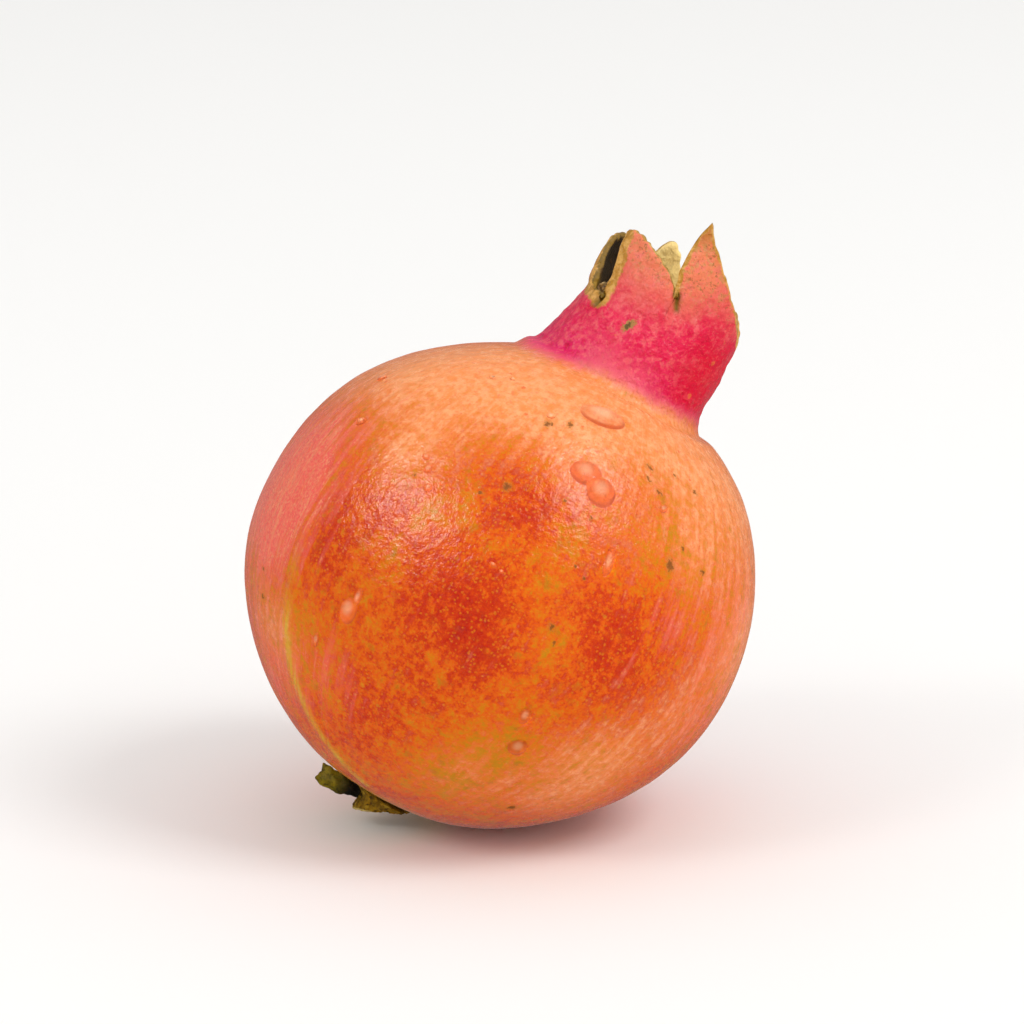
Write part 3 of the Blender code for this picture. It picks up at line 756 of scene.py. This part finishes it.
def build_fruit():
    shares = np.arange(FINE_BODY_ROWS) / (FINE_BODY_ROWS - 1)
    body = [skin_point(ROOT, mix(FIRST_POLAR, LAST_POLAR, share)) for share in shares]
    neck = [body[-4], body[-1]] + [neck_point(ROOT, radius, height) for height, radius in NECK_PROFILE]
    shares = np.arange(1, FINE_LOBE_ROWS + 1) / FINE_LOBE_ROWS
    outer = [lobe_ring(share, inner=False) for share in shares]
    neck = between(neck + [lobe_ring(0.0, inner=False), outer[3]], FINE_NECK_STEPS)
    neck = neck[FINE_NECK_STEPS + 1:-FINE_NECK_STEPS]
    rim = [rim_ring((i + 1) / (RIM_ROWS + 1)) for i in range(RIM_ROWS)]
    inner = [lobe_ring(share, inner=True) for share in shares[::-1]] + [lobe_ring(0.0, inner=True)]
    cup = [inner[-4], inner[-1]] + [neck_point(ROOT, radius, height) for height, radius in CUP_PROFILE]
    cup = between(cup, FINE_CUP_STEPS)[FINE_CUP_STEPS + 1:]
    grid = np.array(body + neck + outer + rim + inner + cup)
    crown_from = len(body)
    rim_from = crown_from + len(neck) + len(outer)
    inside = np.clip((np.arange(len(grid)) - rim_from + 1) / (RIM_ROWS + 1), 0.0, 1.0)
    inside = np.broadcast_to(inside[:, None], grid.shape[:2])

    way = grid / np.linalg.norm(grid, axis=-1, keepdims=True)
    height = grid[..., 2]
    outside = 1.0 - inside
    crown = np.maximum(ease(height, CROWN_FROM, CROWN_TO), inside)
    rim_line = np.array(rim[RIM_ROWS // 2])
    margin = np.full(grid.shape[:2], FAR_FROM_RIM)
    for i in range(crown_from, len(grid)):
        apart = np.linalg.norm(grid[i][:, None, :] - rim_line[None, :, :], axis=-1)
        margin[i] = (apart / MARGIN_WIDTH[None, :]).min(axis=1)

    lower, upper = grid[:crown_from], grid[crown_from:]
    lift = mix(uneven(upper, BODY_WAVES), uneven(upper, CROWN_WAVES), crown[crown_from:])
    lift = np.concatenate([body_relief(lower), lift])
    shift = NECK_SHIFT * ease(height, NECK_SHIFT_FROM, NECK_SHIFT_TO)
    bearing = np.degrees(np.arctan2(grid[..., 0] - shift, -grid[..., 1]))
    crease = np.zeros(grid.shape[:2])
    for bottom_bearing, bottom, top_bearing, top, width in CREASES:
        up_crease = np.clip((height - bottom) / (top - bottom), 0.0, 1.0)
        crease_bearing = mix(bottom_bearing, top_bearing, up_crease)
        across = np.abs((bearing - crease_bearing + 180.0) % 360.0 - 180.0)
        reach = ease(height, bottom, bottom + CREASE_FADE) * (1.0 - ease(height, top, top + CREASE_FADE))
        crease = np.maximum(crease, bell(across, 0.0, width) * reach * outside)
    grid = grid + outward_normals(grid) * (lift - CREASE_DEPTH * crease)[..., None]

    arc = np.arccos(way[..., 2])
    polar = np.degrees(arc)
    b = np.radians(bearing)
    fold = bell(distance_to_line(grid, FOLD_LINE), 0.0, FOLD_COLOUR_WIDTH)
    near_notch = bell(bearing, NOTCH_FIBRE_BEARING, NOTCH_FIBRE_SPREAD)
    fields = {name: patches(way, places) for name, places in PATCHES.items()}
    fields |= {
        "grain": BODY_RADIUS * np.stack([np.sin(b), -np.cos(b), arc / STREAK_STRETCH], axis=-1),
        "fold": fold * ease(polar, FOLD_COLOUR_FROM, FOLD_COLOUR_TO),
        "stem_ring": ease(polar, STEM_RING_FROM, STEM_RING_TO),
        "notch": near_notch * bell(height, NOTCH_FIBRE_HEIGHT, NOTCH_FIBRE_DEPTH),
        "cream": np.broadcast_to(OF_COLUMN.cream, height.shape), "side": np.sin(b), "height": height,
        "crown": crown, "inside": inside, "margin": margin, "crease": crease,
    }
    fields = {field: with_poles(values) for field, values in fields.items()}
    skin = closed(grid, skin_point(0.0, 180.0), neck_point(0.0, 0.0, CUP_FLOOR))
    piece(mesh_of("fruit_skin", [skin], fields), Rind().finished(), "fruit")


class Rind(Paint):
    """Leathery skin: ripe and pale tones laid by patches, broken up by streaks, mottling, dots and scars,
    with painted shade and highlights at the drops and painted shade inside the cup.
    """

    def __init__(self):
        super().__init__("rind")
        self.grain = self.field("grain", "Vector")
        self.streak = self.centred(self.noise(1.7, 3, 0.6, at=self.grain))
        self.thin_streak = self.noise(0.6, 2, 0.6, at=self.grain)
        self.blotch = self.centred(self.noise(5, 4, 0.65, 0.4))
        self.mottle = self.centred(self.noise(1.5, 3, 0.6, 0.3))
        self.grit = self.centred(self.noise(0.5, 2, 0.6))
        self.warp = self.warped(0.6, 1.2)
        self.freckle = self.spots(self.warped(0.4, 0.5), 0.65, 0.5, 0.5)
        self.speckle = self.spots(self.warp, 2.2, 0.24, 0.2)
        self.scar = self.blend((self.nearest(self.warp, SCAR_OVALS), 1), (self.grit, 2))
        self.wet = self.step(self.nearest(self.own, DROP_OVALS), 1, 0.93)
        self.side = self.field("side")
        self.height = self.field("height")
        self.rough_height = self.blend((self.height, 1), (self.blotch, 7), (self.mottle, 3))
        self.edge = self.blend((self.field("margin"), 1), (self.mottle, 0.9))

    def ripe_skin(self):
        ripe = self.blend((RIPENESS, 1), (self.field("red"), 0.5), (self.field("gold"), -0.4),
                          (self.blotch, 0.8), (self.mottle, 0.95), (self.grit, 0.5), (self.streak, 0.5))
        dots = self.times(self.freckle, self.step(self.mottle, -0.15, 0.1, 0.22, 0.55))
        olive = self.step(self.noise(2.6, 3, 0.6), 0.54, 0.7)
        return self.layers(
            self.ramp(ripe, RIPENING),
            (dots, "freckle"),
            (self.times(self.speckle, 0.45), "speckle"),
            (self.times(olive, self.step(ripe, 0.6, 0.2, 0.12, 0.5)), "olive"),
        )

    def light_skin(self, skin):
        """The skin with its pale and pink patches, its fold, and the ring round the stem."""
        pale = self.blend((self.field("pale"), 1), (self.blotch, 0.6), (self.mottle, 0.5), (self.streak, 0.8))
        peach = self.mix(self.step(self.mottle, -0.14, 0.14), "peach", "light peach")
        peach = self.mix(self.step(self.grit, 0.02, 0.2, 0, 0.45), peach, "peach grit")
        pink = self.blend((self.field("pink"), 1), (self.blotch, 0.4), (self.streak, 1.3), (self.mottle, 0.4))
        rose = self.mix(self.step(self.grit, -0.15, 0.2), "pink", "salmon")
        light = self.step(self.sums("MAXIMUM", pink, pale), 0.2, 0.8)
        streaks = self.times(self.step(self.thin_streak, 0.5, 0.7), self.step(light, 0, 1, 0, 0.42))
        red_dots = self.times(self.spots(self.warp, 3.1, 0.16, 0.4), light)
        halo = self.blend((self.field("stem_ring"), 1), (self.streak, 0.5), (self.mottle, 0.3))
        return self.layers(
            skin,
            (self.step(pale, 0.08, 0.85), peach),
            (self.step(pink, 0.15, 0.85, 0, 0.92), rose),
            (streaks, "light streak"),
            (self.times(self.freckle, self.step(light, 0.3, 1, 0, 0.32)), "light freckle"),
            (self.times(red_dots, 0.7), "red dot"),
            (self.times(self.field("fold"), self.step(self.thin_streak, 0.38, 0.58, 0.3, 0.9)), "fold"),
            (self.step(halo, 0.2, 0.8, 0, 0.85), "stem halo"),
            (self.step(halo, 0.8, 1.1), "stem ring"),
        )

    def marked_skin(self, skin):
        """The skin with its scars, darker and more saturated where wet under the drops, with painted shade
        along each drop's lower rim and a painted highlight in its middle.
        """
        raised = self.nearest(self.own, PAINTED_DROP_LIGHT_OVALS)
        shoulder = self.step(self.height, 27, 33)
        return self.layers(
            skin,
            (self.step(self.scar, 2.2, 0.8, 0, 0.5), "scar halo"),
            (self.step(self.scar, 1.1, 0.4, 0, 0.8), "scar"),
            (self.times(self.wet, self.step(shoulder, 0, 1, 0.75, 0.1)), "wet skin"),
            # painted shade along each drop's lower rim
            (self.times(self.wet, self.step(raised, 0.8, 1.1, 0, 0.9)), "painted drop rim shade"),
            # painted highlight in each drop's middle, stronger on the drops higher up
            (self.times(self.step(raised, 0.7, 0.1), self.step(shoulder, 0, 1, 0.3, 0.5)), "painted drop highlight"),
        )

    def crown_skin(self, reach):
        side, height, mottle = self.side, self.rough_height, self.mottle
        shade = self.times(self.step(side, 0.2, 0.8), self.step(height, 66, 52))
        light, dark = self.step(mottle, 0, 0.15), self.step(mottle, -0.02, -0.14)
        orange = self.blend((height, 1), (self.step(side, 0, 0.6), -5))
        bloom = self.times(self.step(side, -0.7, -0.2), self.step(side, 0.55, 0.1))
        upper = self.step(height, 58, 68)
        tan = self.times(self.step(self.noise(1.2, 4, 0.65), 0.5, 0.62), upper)
        specks = self.times(self.spots(self.warp, 0.6, 0.5, 0.4), upper)
        dry = self.mix(self.step(mottle, -0.1, 0.15), "dry margin", "pale margin")
        return self.layers(
            self.mix(self.step(height, 42, 52), "crimson", "rose"),
            (self.step(self.blotch, -0.02, 0.2, 0, 0.5), "coral"),
            (self.step(orange, 52, 67, 0, 0.9), "orange"),
            (self.times(shade, 0.85), "crown shade"),
            (self.times(light, self.step(shade, 0, 1, 0.5, 0.15)), "light mottle"),
            (self.times(dark, self.step(height, 62, 50, 0.1, 0.6)), "dark mottle"),
            (self.step(self.grit, 0.04, 0.2, 0, 0.2), "crown grit"),
            (self.times(self.speckle, 0.5), "crown speckle"),
            (self.step(reach, 43.4, 40.4, 0, 0.6), "haze"),
            (self.times(bloom, self.step(height, 50, 43, 0, 0.5)), "bloom"),
            (self.step(height, 68, 75, 0, 0.85), "tip"),
            (self.times(tan, 0.6), "tan"),
            (self.times(specks, 0.65), "dark speck"),
            (self.step(self.edge, 1.1, 0.85), dry),
            (self.step(self.edge, 0.32, 0.1, 0, 0.8), "dark edge"),
            (self.field("crease"), "crease"),
            (self.step(self.scar, 1.6, 0.9, 0, 0.9), "crown scar halo"),
            (self.step(self.scar, 0.9, 0.4), "crown scar"),
        )

    def lining(self):
        # Near-black painted shade turning to the lining's cream by each lobe's cream share, with deeper
        # painted shade lower in the cup
        tone = self.blend((self.field("cream"), 1), (self.streak, 0.5))
        return self.layers(
            self.mix(self.step(tone, 0.1, 0.85), "painted lining shade", "cream lining"),
            (self.step(self.rough_height, 58, 50), "painted deep lining shade"),
            (self.step(self.mottle, 0.06, 0.24, 0, 0.3), "lining mottle"),
            (self.step(self.edge, 0.4, 0.12, 0, 0.8), "lining edge"),
            (self.times(self.field("notch"), 0.9), "notch fibre"),
        )

    def relief(self, crown):
        """Bumps of leather, pores and fibres. Each is deeper on the crown than on the body."""
        normal = None
        for texture, on_body, on_crown, distance in (
            (self.noise(2.2, 3, 0.55), 1, 2.6, 0.3),
            (self.noise(0.8, 3, 0.6), 1, 2.8, 0.15),
            (self.noise(0.5, 2, 0.6, at=self.grain), 0.3, 1, 0.1),
        ):
            depth = self.step(crown, 0, 1, on_body, on_crown)
            normal = self.bump(self.times(texture, depth), distance, normal)
        return normal

    def finished(self):
        inside = self.field("inside")
        crown = self.field("crown")
        drift = self.step(self.side, -0.8, -0.1, 0.7, -2.3)
        reach = self.blend((self.height, 1), (drift, 1), (self.blotch, 3), (self.mottle, 2))
        skin = self.marked_skin(self.light_skin(self.ripe_skin()))
        skin = self.mix(self.step(reach, 39, 42.4), skin, self.crown_skin(reach))
        skin = self.mix(self.step(inside, 0.3, 0.62), skin, self.lining())
        dry = self.sums("MAXIMUM", inside, self.step(self.scar, 1.2, 0.6))
        roughness = self.blend((RIND_ROUGHNESS, 1), (self.mottle, 0.15), (crown, -0.03), (self.wet, 0.3),
                               (dry, 0.45))
        return self.finish(skin, roughness, self.relief(crown), IOR=RIND_IOR)


def stamen_material():
    paint = Paint("dried_stamen")
    skin = paint.layers(
        paint.mix(paint.step(paint.noise(0.9, 3, 0.6), 0.3, 0.7), "dark stamen", "stamen"),
        (paint.step(paint.noise(2.6), 0.55, 0.7, 0, 0.7), "pale stamen"),
    )
    return paint.finish(skin, 0.8, paint.bump(paint.noise(0.25, 3, 0.6), 0.08))


def stem_material():
    paint = Paint("stem_bark")
    bark = paint.noise(0.9, 4, 0.65, 0.5, at=paint.field("grain", "Vector"))
    wood = paint.mix(paint.step(paint.noise(0.6, 3), 0.3, 0.7), "wood", "pale wood")
    skin = paint.layers(
        paint.mix(paint.step(bark, 0.3, 0.7), "dark bark", "bark"),
        (paint.step(paint.noise(1.6, 4, 0.65), 0.5, 0.72), "tan bark"),
        (paint.step(paint.noise(1.1, 3, 0.6), 0.54, 0.66, 0, 0.85), "black bark"),
        (paint.step(paint.field("cut"), 0.35, 0.65), paint.mix(paint.field("pith"), wood, "pith")),
    )
    normal = paint.bump(paint.noise(0.3, 3, 0.6), 0.12, paint.bump(bark, 0.35))
    return paint.finish(skin, 0.82, normal, IOR=DRY_IOR)


def leaf_material():
    paint = Paint("torn_leaf")
    skin = paint.layers(
        paint.mix(paint.step(paint.noise(1.5, 4, 0.6), 0.3, 0.7), "dark leaf", "leaf"),
        (paint.step(paint.field("vein"), 0.3, 0.9, 0, 0.25), "leaf vein"),
        # painted shadow towards the leaf's root
        (paint.field("root"), "painted leaf root shadow"),
        (paint.step(paint.noise(0.7, 3), 0.54, 0.68, 0, 0.7), "leaf blot"),
    )
    return paint.finish(skin, 0.62, paint.bump(paint.noise(0.5, 4, 0.6), 0.2), IOR=DRY_IOR)


def water_material():
    paint = Paint("water")
    normal = paint.bump(paint.noise(2), 0.02)
    return paint.finish("water", 0.05, normal, IOR=WATER_IOR, Transmission_Weight=1)


def skin_axes(bearing, polar):
    """Unit vectors at a place on the body: straight out, to the right along the skin, and up it."""
    out = direction(bearing, polar)
    east = direction(bearing + 90.0, 90.0)
    north = np.cross(out, east)
    return out, east, north if north[2] > 0.0 else -north


def on_body(bearing, polar, right, up, lift):
    """The point that lies right and up, in millimetres, of a place on the body's skin, lifted off it."""
    out, east, north = skin_axes(bearing, polar)
    way = out + (np.multiply.outer(right, east) + np.multiply.outer(up, north)) / BODY_RADIUS
    way = way / np.linalg.norm(way, axis=-1, keepdims=True)
    at_polar = np.degrees(np.arccos(way[..., 2]))
    at_bearing = np.degrees(np.arctan2(way[..., 0], -way[..., 1]))
    skin = way * skin_radius(at_bearing, at_polar)[..., None]
    return skin + way * (body_relief(skin) + lift)[..., None]


def oval(middle, east, north, turn, radii):
    """An oval on the skin, in the shared frame's millimetres: its middle, its Euler angles and its radii."""
    t = math.radians(turn)
    east, north = math.cos(t) * east + math.sin(t) * north, math.cos(t) * north - math.sin(t) * east
    axes = Matrix((east, north, np.cross(east, north))).transposed()
    return tuple(place(middle) / MM), tuple((lean().to_3x3() @ axes).to_euler()), radii


def body_oval(bearing, polar, half_width, half_length, turn, depth, raised=0.0):
    """An oval on the body's skin. raised moves it up in the image, as a share of its smaller radius."""
    rise = raised * min(half_width, half_length)
    _, east, north = skin_axes(bearing, polar)
    right, up = (np.array([rise * part]) for part in IMAGE_UP)
    middle = on_body(bearing, polar, right, up, 0.0)[0]
    return oval(middle, east, north, turn, (half_width, half_length, depth))


def neck_oval(bearing, height, half_width, half_length, turn, depth):
    heights, radii = (LOBE_ROOT_HEIGHT, LOBE_WAIST_HEIGHT), (LOBE_ROOT_RADIUS, LOBE_WAIST_RADIUS)
    radius = float(np.interp(height, heights, radii))
    east = direction(bearing + 90.0, 90.0)
    up = np.array((0.0, 0.0, 1.0))
    return oval(neck_point(bearing, radius, height), east, up, turn, (half_width, half_length, depth))


SCAR_OVALS = [body_oval(b, p, r, r * long, turn, SCAR_DEPTH) for b, p, r, long, turn in SCARS]
SCAR_OVALS.append(neck_oval(*NECK_SCAR[:3], NECK_SCAR[2] * NECK_SCAR[3], NECK_SCAR[4], SCAR_DEPTH))
DROP_OVALS = [body_oval(*drop[:5], DROP_DEPTH) for drop in DROPS]
# The drops' ovals moved up in the image, for their painted rim shade and painted highlight
PAINTED_DROP_LIGHT_OVALS = [body_oval(*drop[:5], DROP_DEPTH, RIM_RISE) for drop in DROPS]


def build_drops():
    parts = []
    angle = 2.0 * math.pi * np.arange(DROP_SIDES) / DROP_SIDES
    zero = np.zeros(1)
    for number, (bearing, polar, half_width, half_length, turn, thickness) in enumerate(DROPS):
        wavy = 1.0 + 0.04 * np.sin(2 * angle + number) + 0.03 * np.sin(3 * angle + 2.1 * number)
        x, y = half_width * wavy * np.cos(angle), half_length * wavy * np.sin(angle)
        t = math.radians(turn)
        across, along = x * math.cos(t) - y * math.sin(t), x * math.sin(t) + y * math.cos(t)
        levels = [(share, -DROP_SINK) for share in DROP_BASE]
        for i in range(DROP_RINGS):
            slope = 0.5 * math.pi * i / DROP_RINGS
            levels.append((math.cos(slope), -DROP_EDGE + thickness * math.sin(slope) ** DROP_FULLNESS))
        rings = [on_body(bearing, polar, across * share, along * share, lift) for share, lift in levels]
        low = on_body(bearing, polar, zero, zero, -DROP_SINK)[0]
        top = on_body(bearing, polar, zero, zero, thickness - DROP_EDGE)[0]
        parts.append(closed(rings, low, top))
    drops = piece(mesh_of("water_drops", parts), water_material())
    drops.visible_shadow = False


def cup_height(radius):
    heights, radii = zip((CUP_FLOOR, 0.0), *reversed(CUP_PROFILE))
    return float(np.interp(radius, radii, heights))


def stamen(root, way, bend, length, thick, rng):
    """Parts of one dried stamen: a thread that bends as it goes, and the knob at its end."""
    path = []
    for i in range(9):
        share = i / 8
        kink = 0.05 * math.sin(5.0 * share + rng.uniform(0.0, 1.0))
        path.append(root + length * (way * share + bend * (share * share + kink)))
    thread = tube(path, [mix(thick, thick * 0.6, i / 8) for i in range(9)], 6)
    end, ahead = path[-1], path[-1] - path[-2]
    ahead = ahead / np.linalg.norm(ahead)
    size = rng.uniform(0.26, 0.42)
    knob = [end + ahead * step for step in KNOB_STEPS]
    return [thread, tube(knob, [size * share for share in KNOB_RADII], 8)]


def sideways(bearing):
    """Unit vectors level with the crown: outward at a bearing, and along to its right."""
    return round_axis(bearing, 1.0, 0.0), round_axis(bearing + 90.0, 1.0, 0.0)


def stamen_disc(middle):
    """The pad on the cup's floor that the stamens stand on."""
    bearings = np.arange(0.0, 360.0, 5.0)
    rings = []
    for radius in STAMEN_DISC_UNDER:
        rings.append(neck_point(bearings, radius, cup_height(radius) + STAMEN_DISC_GAP))
    for radius in STAMEN_DISC_OVER:
        ring = neck_point(bearings, radius, cup_height(radius) + STAMEN_DISC_GAP + STAMEN_DISC_RISE)
        ring[:, 2] += uneven(ring, STAMEN_DISC_WAVES)
        rings.append(ring)
    low = middle + (0.0, 0.0, STAMEN_DISC_GAP)
    return closed(rings, low, low + (0.0, 0.0, STAMEN_DISC_RISE))


def build_stamens():
    rng = random.Random(STAMEN_SEED)
    middle = neck_point(0.0, 0.0, CUP_FLOOR)
    up = np.array((0.0, 0.0, 1.0))
    sunk = STAMEN_DISC_GAP + STAMEN_DEPTH
    parts = [stamen_disc(middle)]
    for radius, count, length, lean_in in STAMEN_RINGS:
        for i in range(count):
            outward, along = sideways(360.0 * i / count + rng.uniform(-6.0, 6.0))
            root = middle + outward * radius
            root[2] = cup_height(radius) + sunk
            inward = math.tan(math.radians(lean_in))
            bend = along * rng.uniform(-0.35, 0.35) - outward * inward * rng.uniform(-0.2, 1.6)
            own_length = length * rng.uniform(0.65, 1.1)
            parts += stamen(root, up, bend, own_length, rng.uniform(*STAMEN_THICKNESS), rng)
    for _ in range(WALL_STAMENS):
        bearing = rng.uniform(0.0, 360.0)
        height = rng.uniform(WALL_STAMEN_LOW, WALL_STAMEN_HIGH)
        outward, along = sideways(bearing)
        root = neck_point(bearing, 12.0 if height < 52.0 else 12.4, height)
        way = up * rng.uniform(0.2, 0.8) - outward * rng.uniform(0.25, 0.6)
        bend = along * rng.uniform(-0.8, 0.8) - up * rng.uniform(-0.2, 0.5)
        parts += stamen(root, way, bend, rng.uniform(3.0, 5.0), rng.uniform(*STAMEN_THICKNESS), rng)
    for _ in range(NOTCH_FIBRES):
        bearing = NOTCH_FIBRE_BEARING + rng.uniform(-14.0, 12.0)
        outward, along = sideways(bearing)
        root = neck_point(bearing, rng.uniform(12.2, 13.6), rng.uniform(53.0, 54.6))
        way = up * rng.uniform(0.3, 0.9) + outward * rng.uniform(-0.3, 0.35)
        bend = along * rng.uniform(-0.8, 0.8)
        parts += stamen(root, way, bend, rng.uniform(1.6, 3.0), rng.uniform(0.16, 0.26), rng)
    root = middle + up * sunk
    style = [root + up * (STYLE_LENGTH * i / 8) + np.array((0.1 * i / 8, 0.05 * i, 0.0)) for i in range(9)]
    parts.append(tube(style, STYLE_RADII, 12))
    piece(mesh_of("stamen_tuft", parts), stamen_material(), "stamens")


def stem_swell(bearing, height):
    b = np.radians(bearing)
    lumps = 0.07 * np.sin(3 * b + 1.0) + 0.05 * np.sin(5 * b + 2.6 + 0.8 * height)
    return 1.0 + lumps * ease(height, -STEM_CUT_TO, -45.5) + 0.03 * np.sin(2 * b)


def build_stem():
    bearings = 360.0 * np.arange(STEM_COLUMNS) / STEM_COLUMNS
    rings = []
    for radius in STEM_SEAT_RADII:
        polar = 180.0 - math.degrees(math.asin(radius / BODY_RADIUS))
        rings.append(skin_point(bearings, polar) - (0.0, 0.0, STEM_GAP))
    slope = math.tan(math.radians(STEM_CUT_TILT))
    for height, radius in STEM_PROFILE:
        ring = round_axis(bearings, radius * stem_swell(bearings, height), height)
        ring[:, 0] += mix(STEM_COLLAR_SHIFT, STEM_STUB_SHIFT, ease(-height, STEM_SHIFT_FROM, STEM_CUT_TO))
        ring[:, 2] += ring[:, 0] * slope * ease(-height, STEM_CUT_FROM, STEM_CUT_TO)
        rings.append(ring)
    grid = np.array(between(rings, STEM_FINE_STEPS))
    cut = np.clip(np.arange(len(grid)) / STEM_FINE_STEPS - (len(rings) - STEM_CUT_RINGS - 1), 0.0, 1.0)
    seat = np.arange(len(grid)) < len(STEM_SEAT_RADII) * STEM_FINE_STEPS
    rough = uneven(grid, STEM_WAVES) * np.where(seat, 0.0, mix(1.0, STEM_CUT_ROUGHNESS, cut))[:, None]
    grid = grid + outward_normals(grid) * rough[..., None]
    across = np.linalg.norm(grid[..., :2], axis=-1)
    fields = {
        "cut": cut[:, None] * ease(across, 3.3, 2.6),
        "pith": cut[:, None] * ease(across, 1.9, 1.2),
        "grain": round_axis(bearings, STEM_GRAIN_RADIUS, grid[..., 2] / STEM_GRAIN_STRETCH),
    }
    fields = {name: with_poles(values) for name, values in fields.items()}
    seat_pole = skin_point(0.0, 180.0) - (0.0, 0.0, STEM_GAP)
    stub = closed(grid, seat_pole, (0.0, 0.0, STEM_PITH_HEIGHT))
    piece(mesh_of("stem_stub", [stub], fields), stem_material(), "stem")


def build_leaf():
    angle = 2.0 * math.pi * np.arange(LEAF_SIDES) / LEAF_SIDES
    rings = []
    last = len(LEAF_STATIONS) - 1
    for i, (x, y, z, half_width, half_thickness) in enumerate(LEAF_STATIONS):
        wave = LEAF_WAVE * np.sin(2.3 * x + 2.0 * angle)
        tear = LEAF_TEAR * (np.sin(3.0 * angle + 0.6) + 0.35 * np.sin(8.0 * angle)) * (i == last)
        across, along = np.cos(angle) * half_thickness, np.sin(angle) * (half_width + wave)
        rings.append(np.stack([x + tear, y + across, z + along], axis=-1))
    grid = np.array(between(rings, LEAF_FINE_STEPS))
    half_turn = np.mod(angle, math.pi)
    vein = bell(half_turn, 0.0, LEAF_VEIN_WIDTH) + bell(half_turn, math.pi, LEAF_VEIN_WIDTH)
    lift = uneven(grid, LEAF_WAVES) + LEAF_VEIN * vein
    grid = grid + outward_normals(grid) * lift[..., None]
    # Painted shadow: darkest at the leaf's root, fading over its first fine rows
    root = ease(np.arange(len(grid)), *LEAF_SHADOW_ROWS)[:, None]
    values = {"vein": np.broadcast_to(vein, grid.shape[:2]), "root": np.broadcast_to(root, grid.shape[:2])}
    fields = {name: with_poles(field, LEAF_POLES) for name, field in values.items()}
    start = np.array(LEAF_STATIONS[0][:3]) + (0.2, 0.0, 0.0)
    end = np.array(LEAF_STATIONS[last][:3]) + (0.1, 0.0, 0.0)
    piece(mesh_of("torn_leaf", [closed(grid, start, end)], fields), leaf_material(), "leaf_stub")


def build_floor():
    bm = bmesh.new()
    bmesh.ops.create_grid(bm, x_segments=1, y_segments=1, size=FLOOR_HALF_SIZE)
    mesh = bpy.data.meshes.new("floor")
    bm.to_mesh(mesh)
    bm.free()
    floor = add_object("floor", mesh)
    floor.location.z = FLOOR_HEIGHT
    mat = bpy.data.materials.new("floor")
    mat.use_nodes = True
    shader = mat.node_tree.nodes["Principled BSDF"]
    shader.inputs["Base Color"].default_value = colour(*FLOOR_COLOUR)
    shader.inputs["Roughness"].default_value = 0.9
    shader.inputs["Specular IOR Level"].default_value = 0.1
    mesh.materials.append(mat)
    floor.visible_glossy = False


def camera_axes():
    """Unit vectors to the image's right, up and back towards the camera."""
    e = math.radians(CAMERA_ELEVATION)
    up, back = (0.0, math.sin(e), math.cos(e)), (0.0, -math.cos(e), math.sin(e))
    return Vector((1.0, 0.0, 0.0)), Vector(up), Vector(back)


def build_camera():
    right, up, back = camera_axes()
    aim_right = (PHOTO_SIZE / 2.0 - BODY_MIDDLE_PIXEL[0]) / PIXELS_PER_MM
    aim_up = (BODY_MIDDLE_PIXEL[1] - PHOTO_SIZE / 2.0) / PIXELS_PER_MM
    aim = Vector(BODY_MIDDLE) + right * aim_right + up * aim_up
    data = bpy.data.cameras.new("camera")
    data.sensor_width = SENSOR_WIDTH
    data.lens = PIXELS_PER_MM * SENSOR_WIDTH * CAMERA_DISTANCE / PHOTO_SIZE
    camera = add_object("camera", data)
    camera.location = (aim + back * CAMERA_DISTANCE) * MM
    camera.rotation_euler = (math.radians(90.0 - CAMERA_ELEVATION), 0.0, 0.0)
    bpy.context.scene.camera = camera


def soft_light(name, way, size, power, **seen_by):
    """A square area lamp that faces the fruit, seen only by some kinds of rays."""
    data = bpy.data.lights.new(name, "AREA")
    data.shape = "SQUARE"
    data.size = size
    data.energy = power
    light = add_object(name, data)
    light.location = Vector(BODY_MIDDLE) * MM + way * SOFT_BOX_DISTANCE
    light.rotation_euler = way.to_track_quat("Z", "Y").to_euler()
    for rays, seen in seen_by.items():
        setattr(light, rays, seen)


def build_lights():
    right, up, back = camera_axes()
    for name, (x, y, z), size, light, glare in SOFT_BOXES:
        way = (right * x + up * y + back * z).normalized()
        soft_light(f"{name}_light", way, size, light, visible_glossy=False, visible_transmission=False)
        if glare:
            soft_light(f"{name}_glare", way, size, glare, visible_diffuse=False, visible_transmission=False)
    world = bpy.data.worlds.new("studio")
    world.use_nodes = True
    nodes = world.node_tree.nodes
    background = nodes["Background"]
    background.inputs["Color"].default_value = (1.0, 1.0, 1.0, 1.0)
    rays = nodes.new("ShaderNodeLightPath")
    strength = nodes.new("ShaderNodeMapRange")
    strength.inputs["To Min"].default_value = WORLD_STRENGTH
    strength.inputs["To Max"].default_value = WORLD_GLARE
    world.node_tree.links.new(rays.outputs["Is Glossy Ray"], strength.inputs["Value"])
    world.node_tree.links.new(strength.outputs["Result"], background.inputs["Strength"])
    bpy.context.scene.world = world
    view = bpy.context.scene.view_settings
    view.view_transform = "Standard"
    view.look = "None"


build_fruit()
build_drops()
build_stamens()
build_stem()
build_leaf()
build_floor()
build_camera()
build_lights()
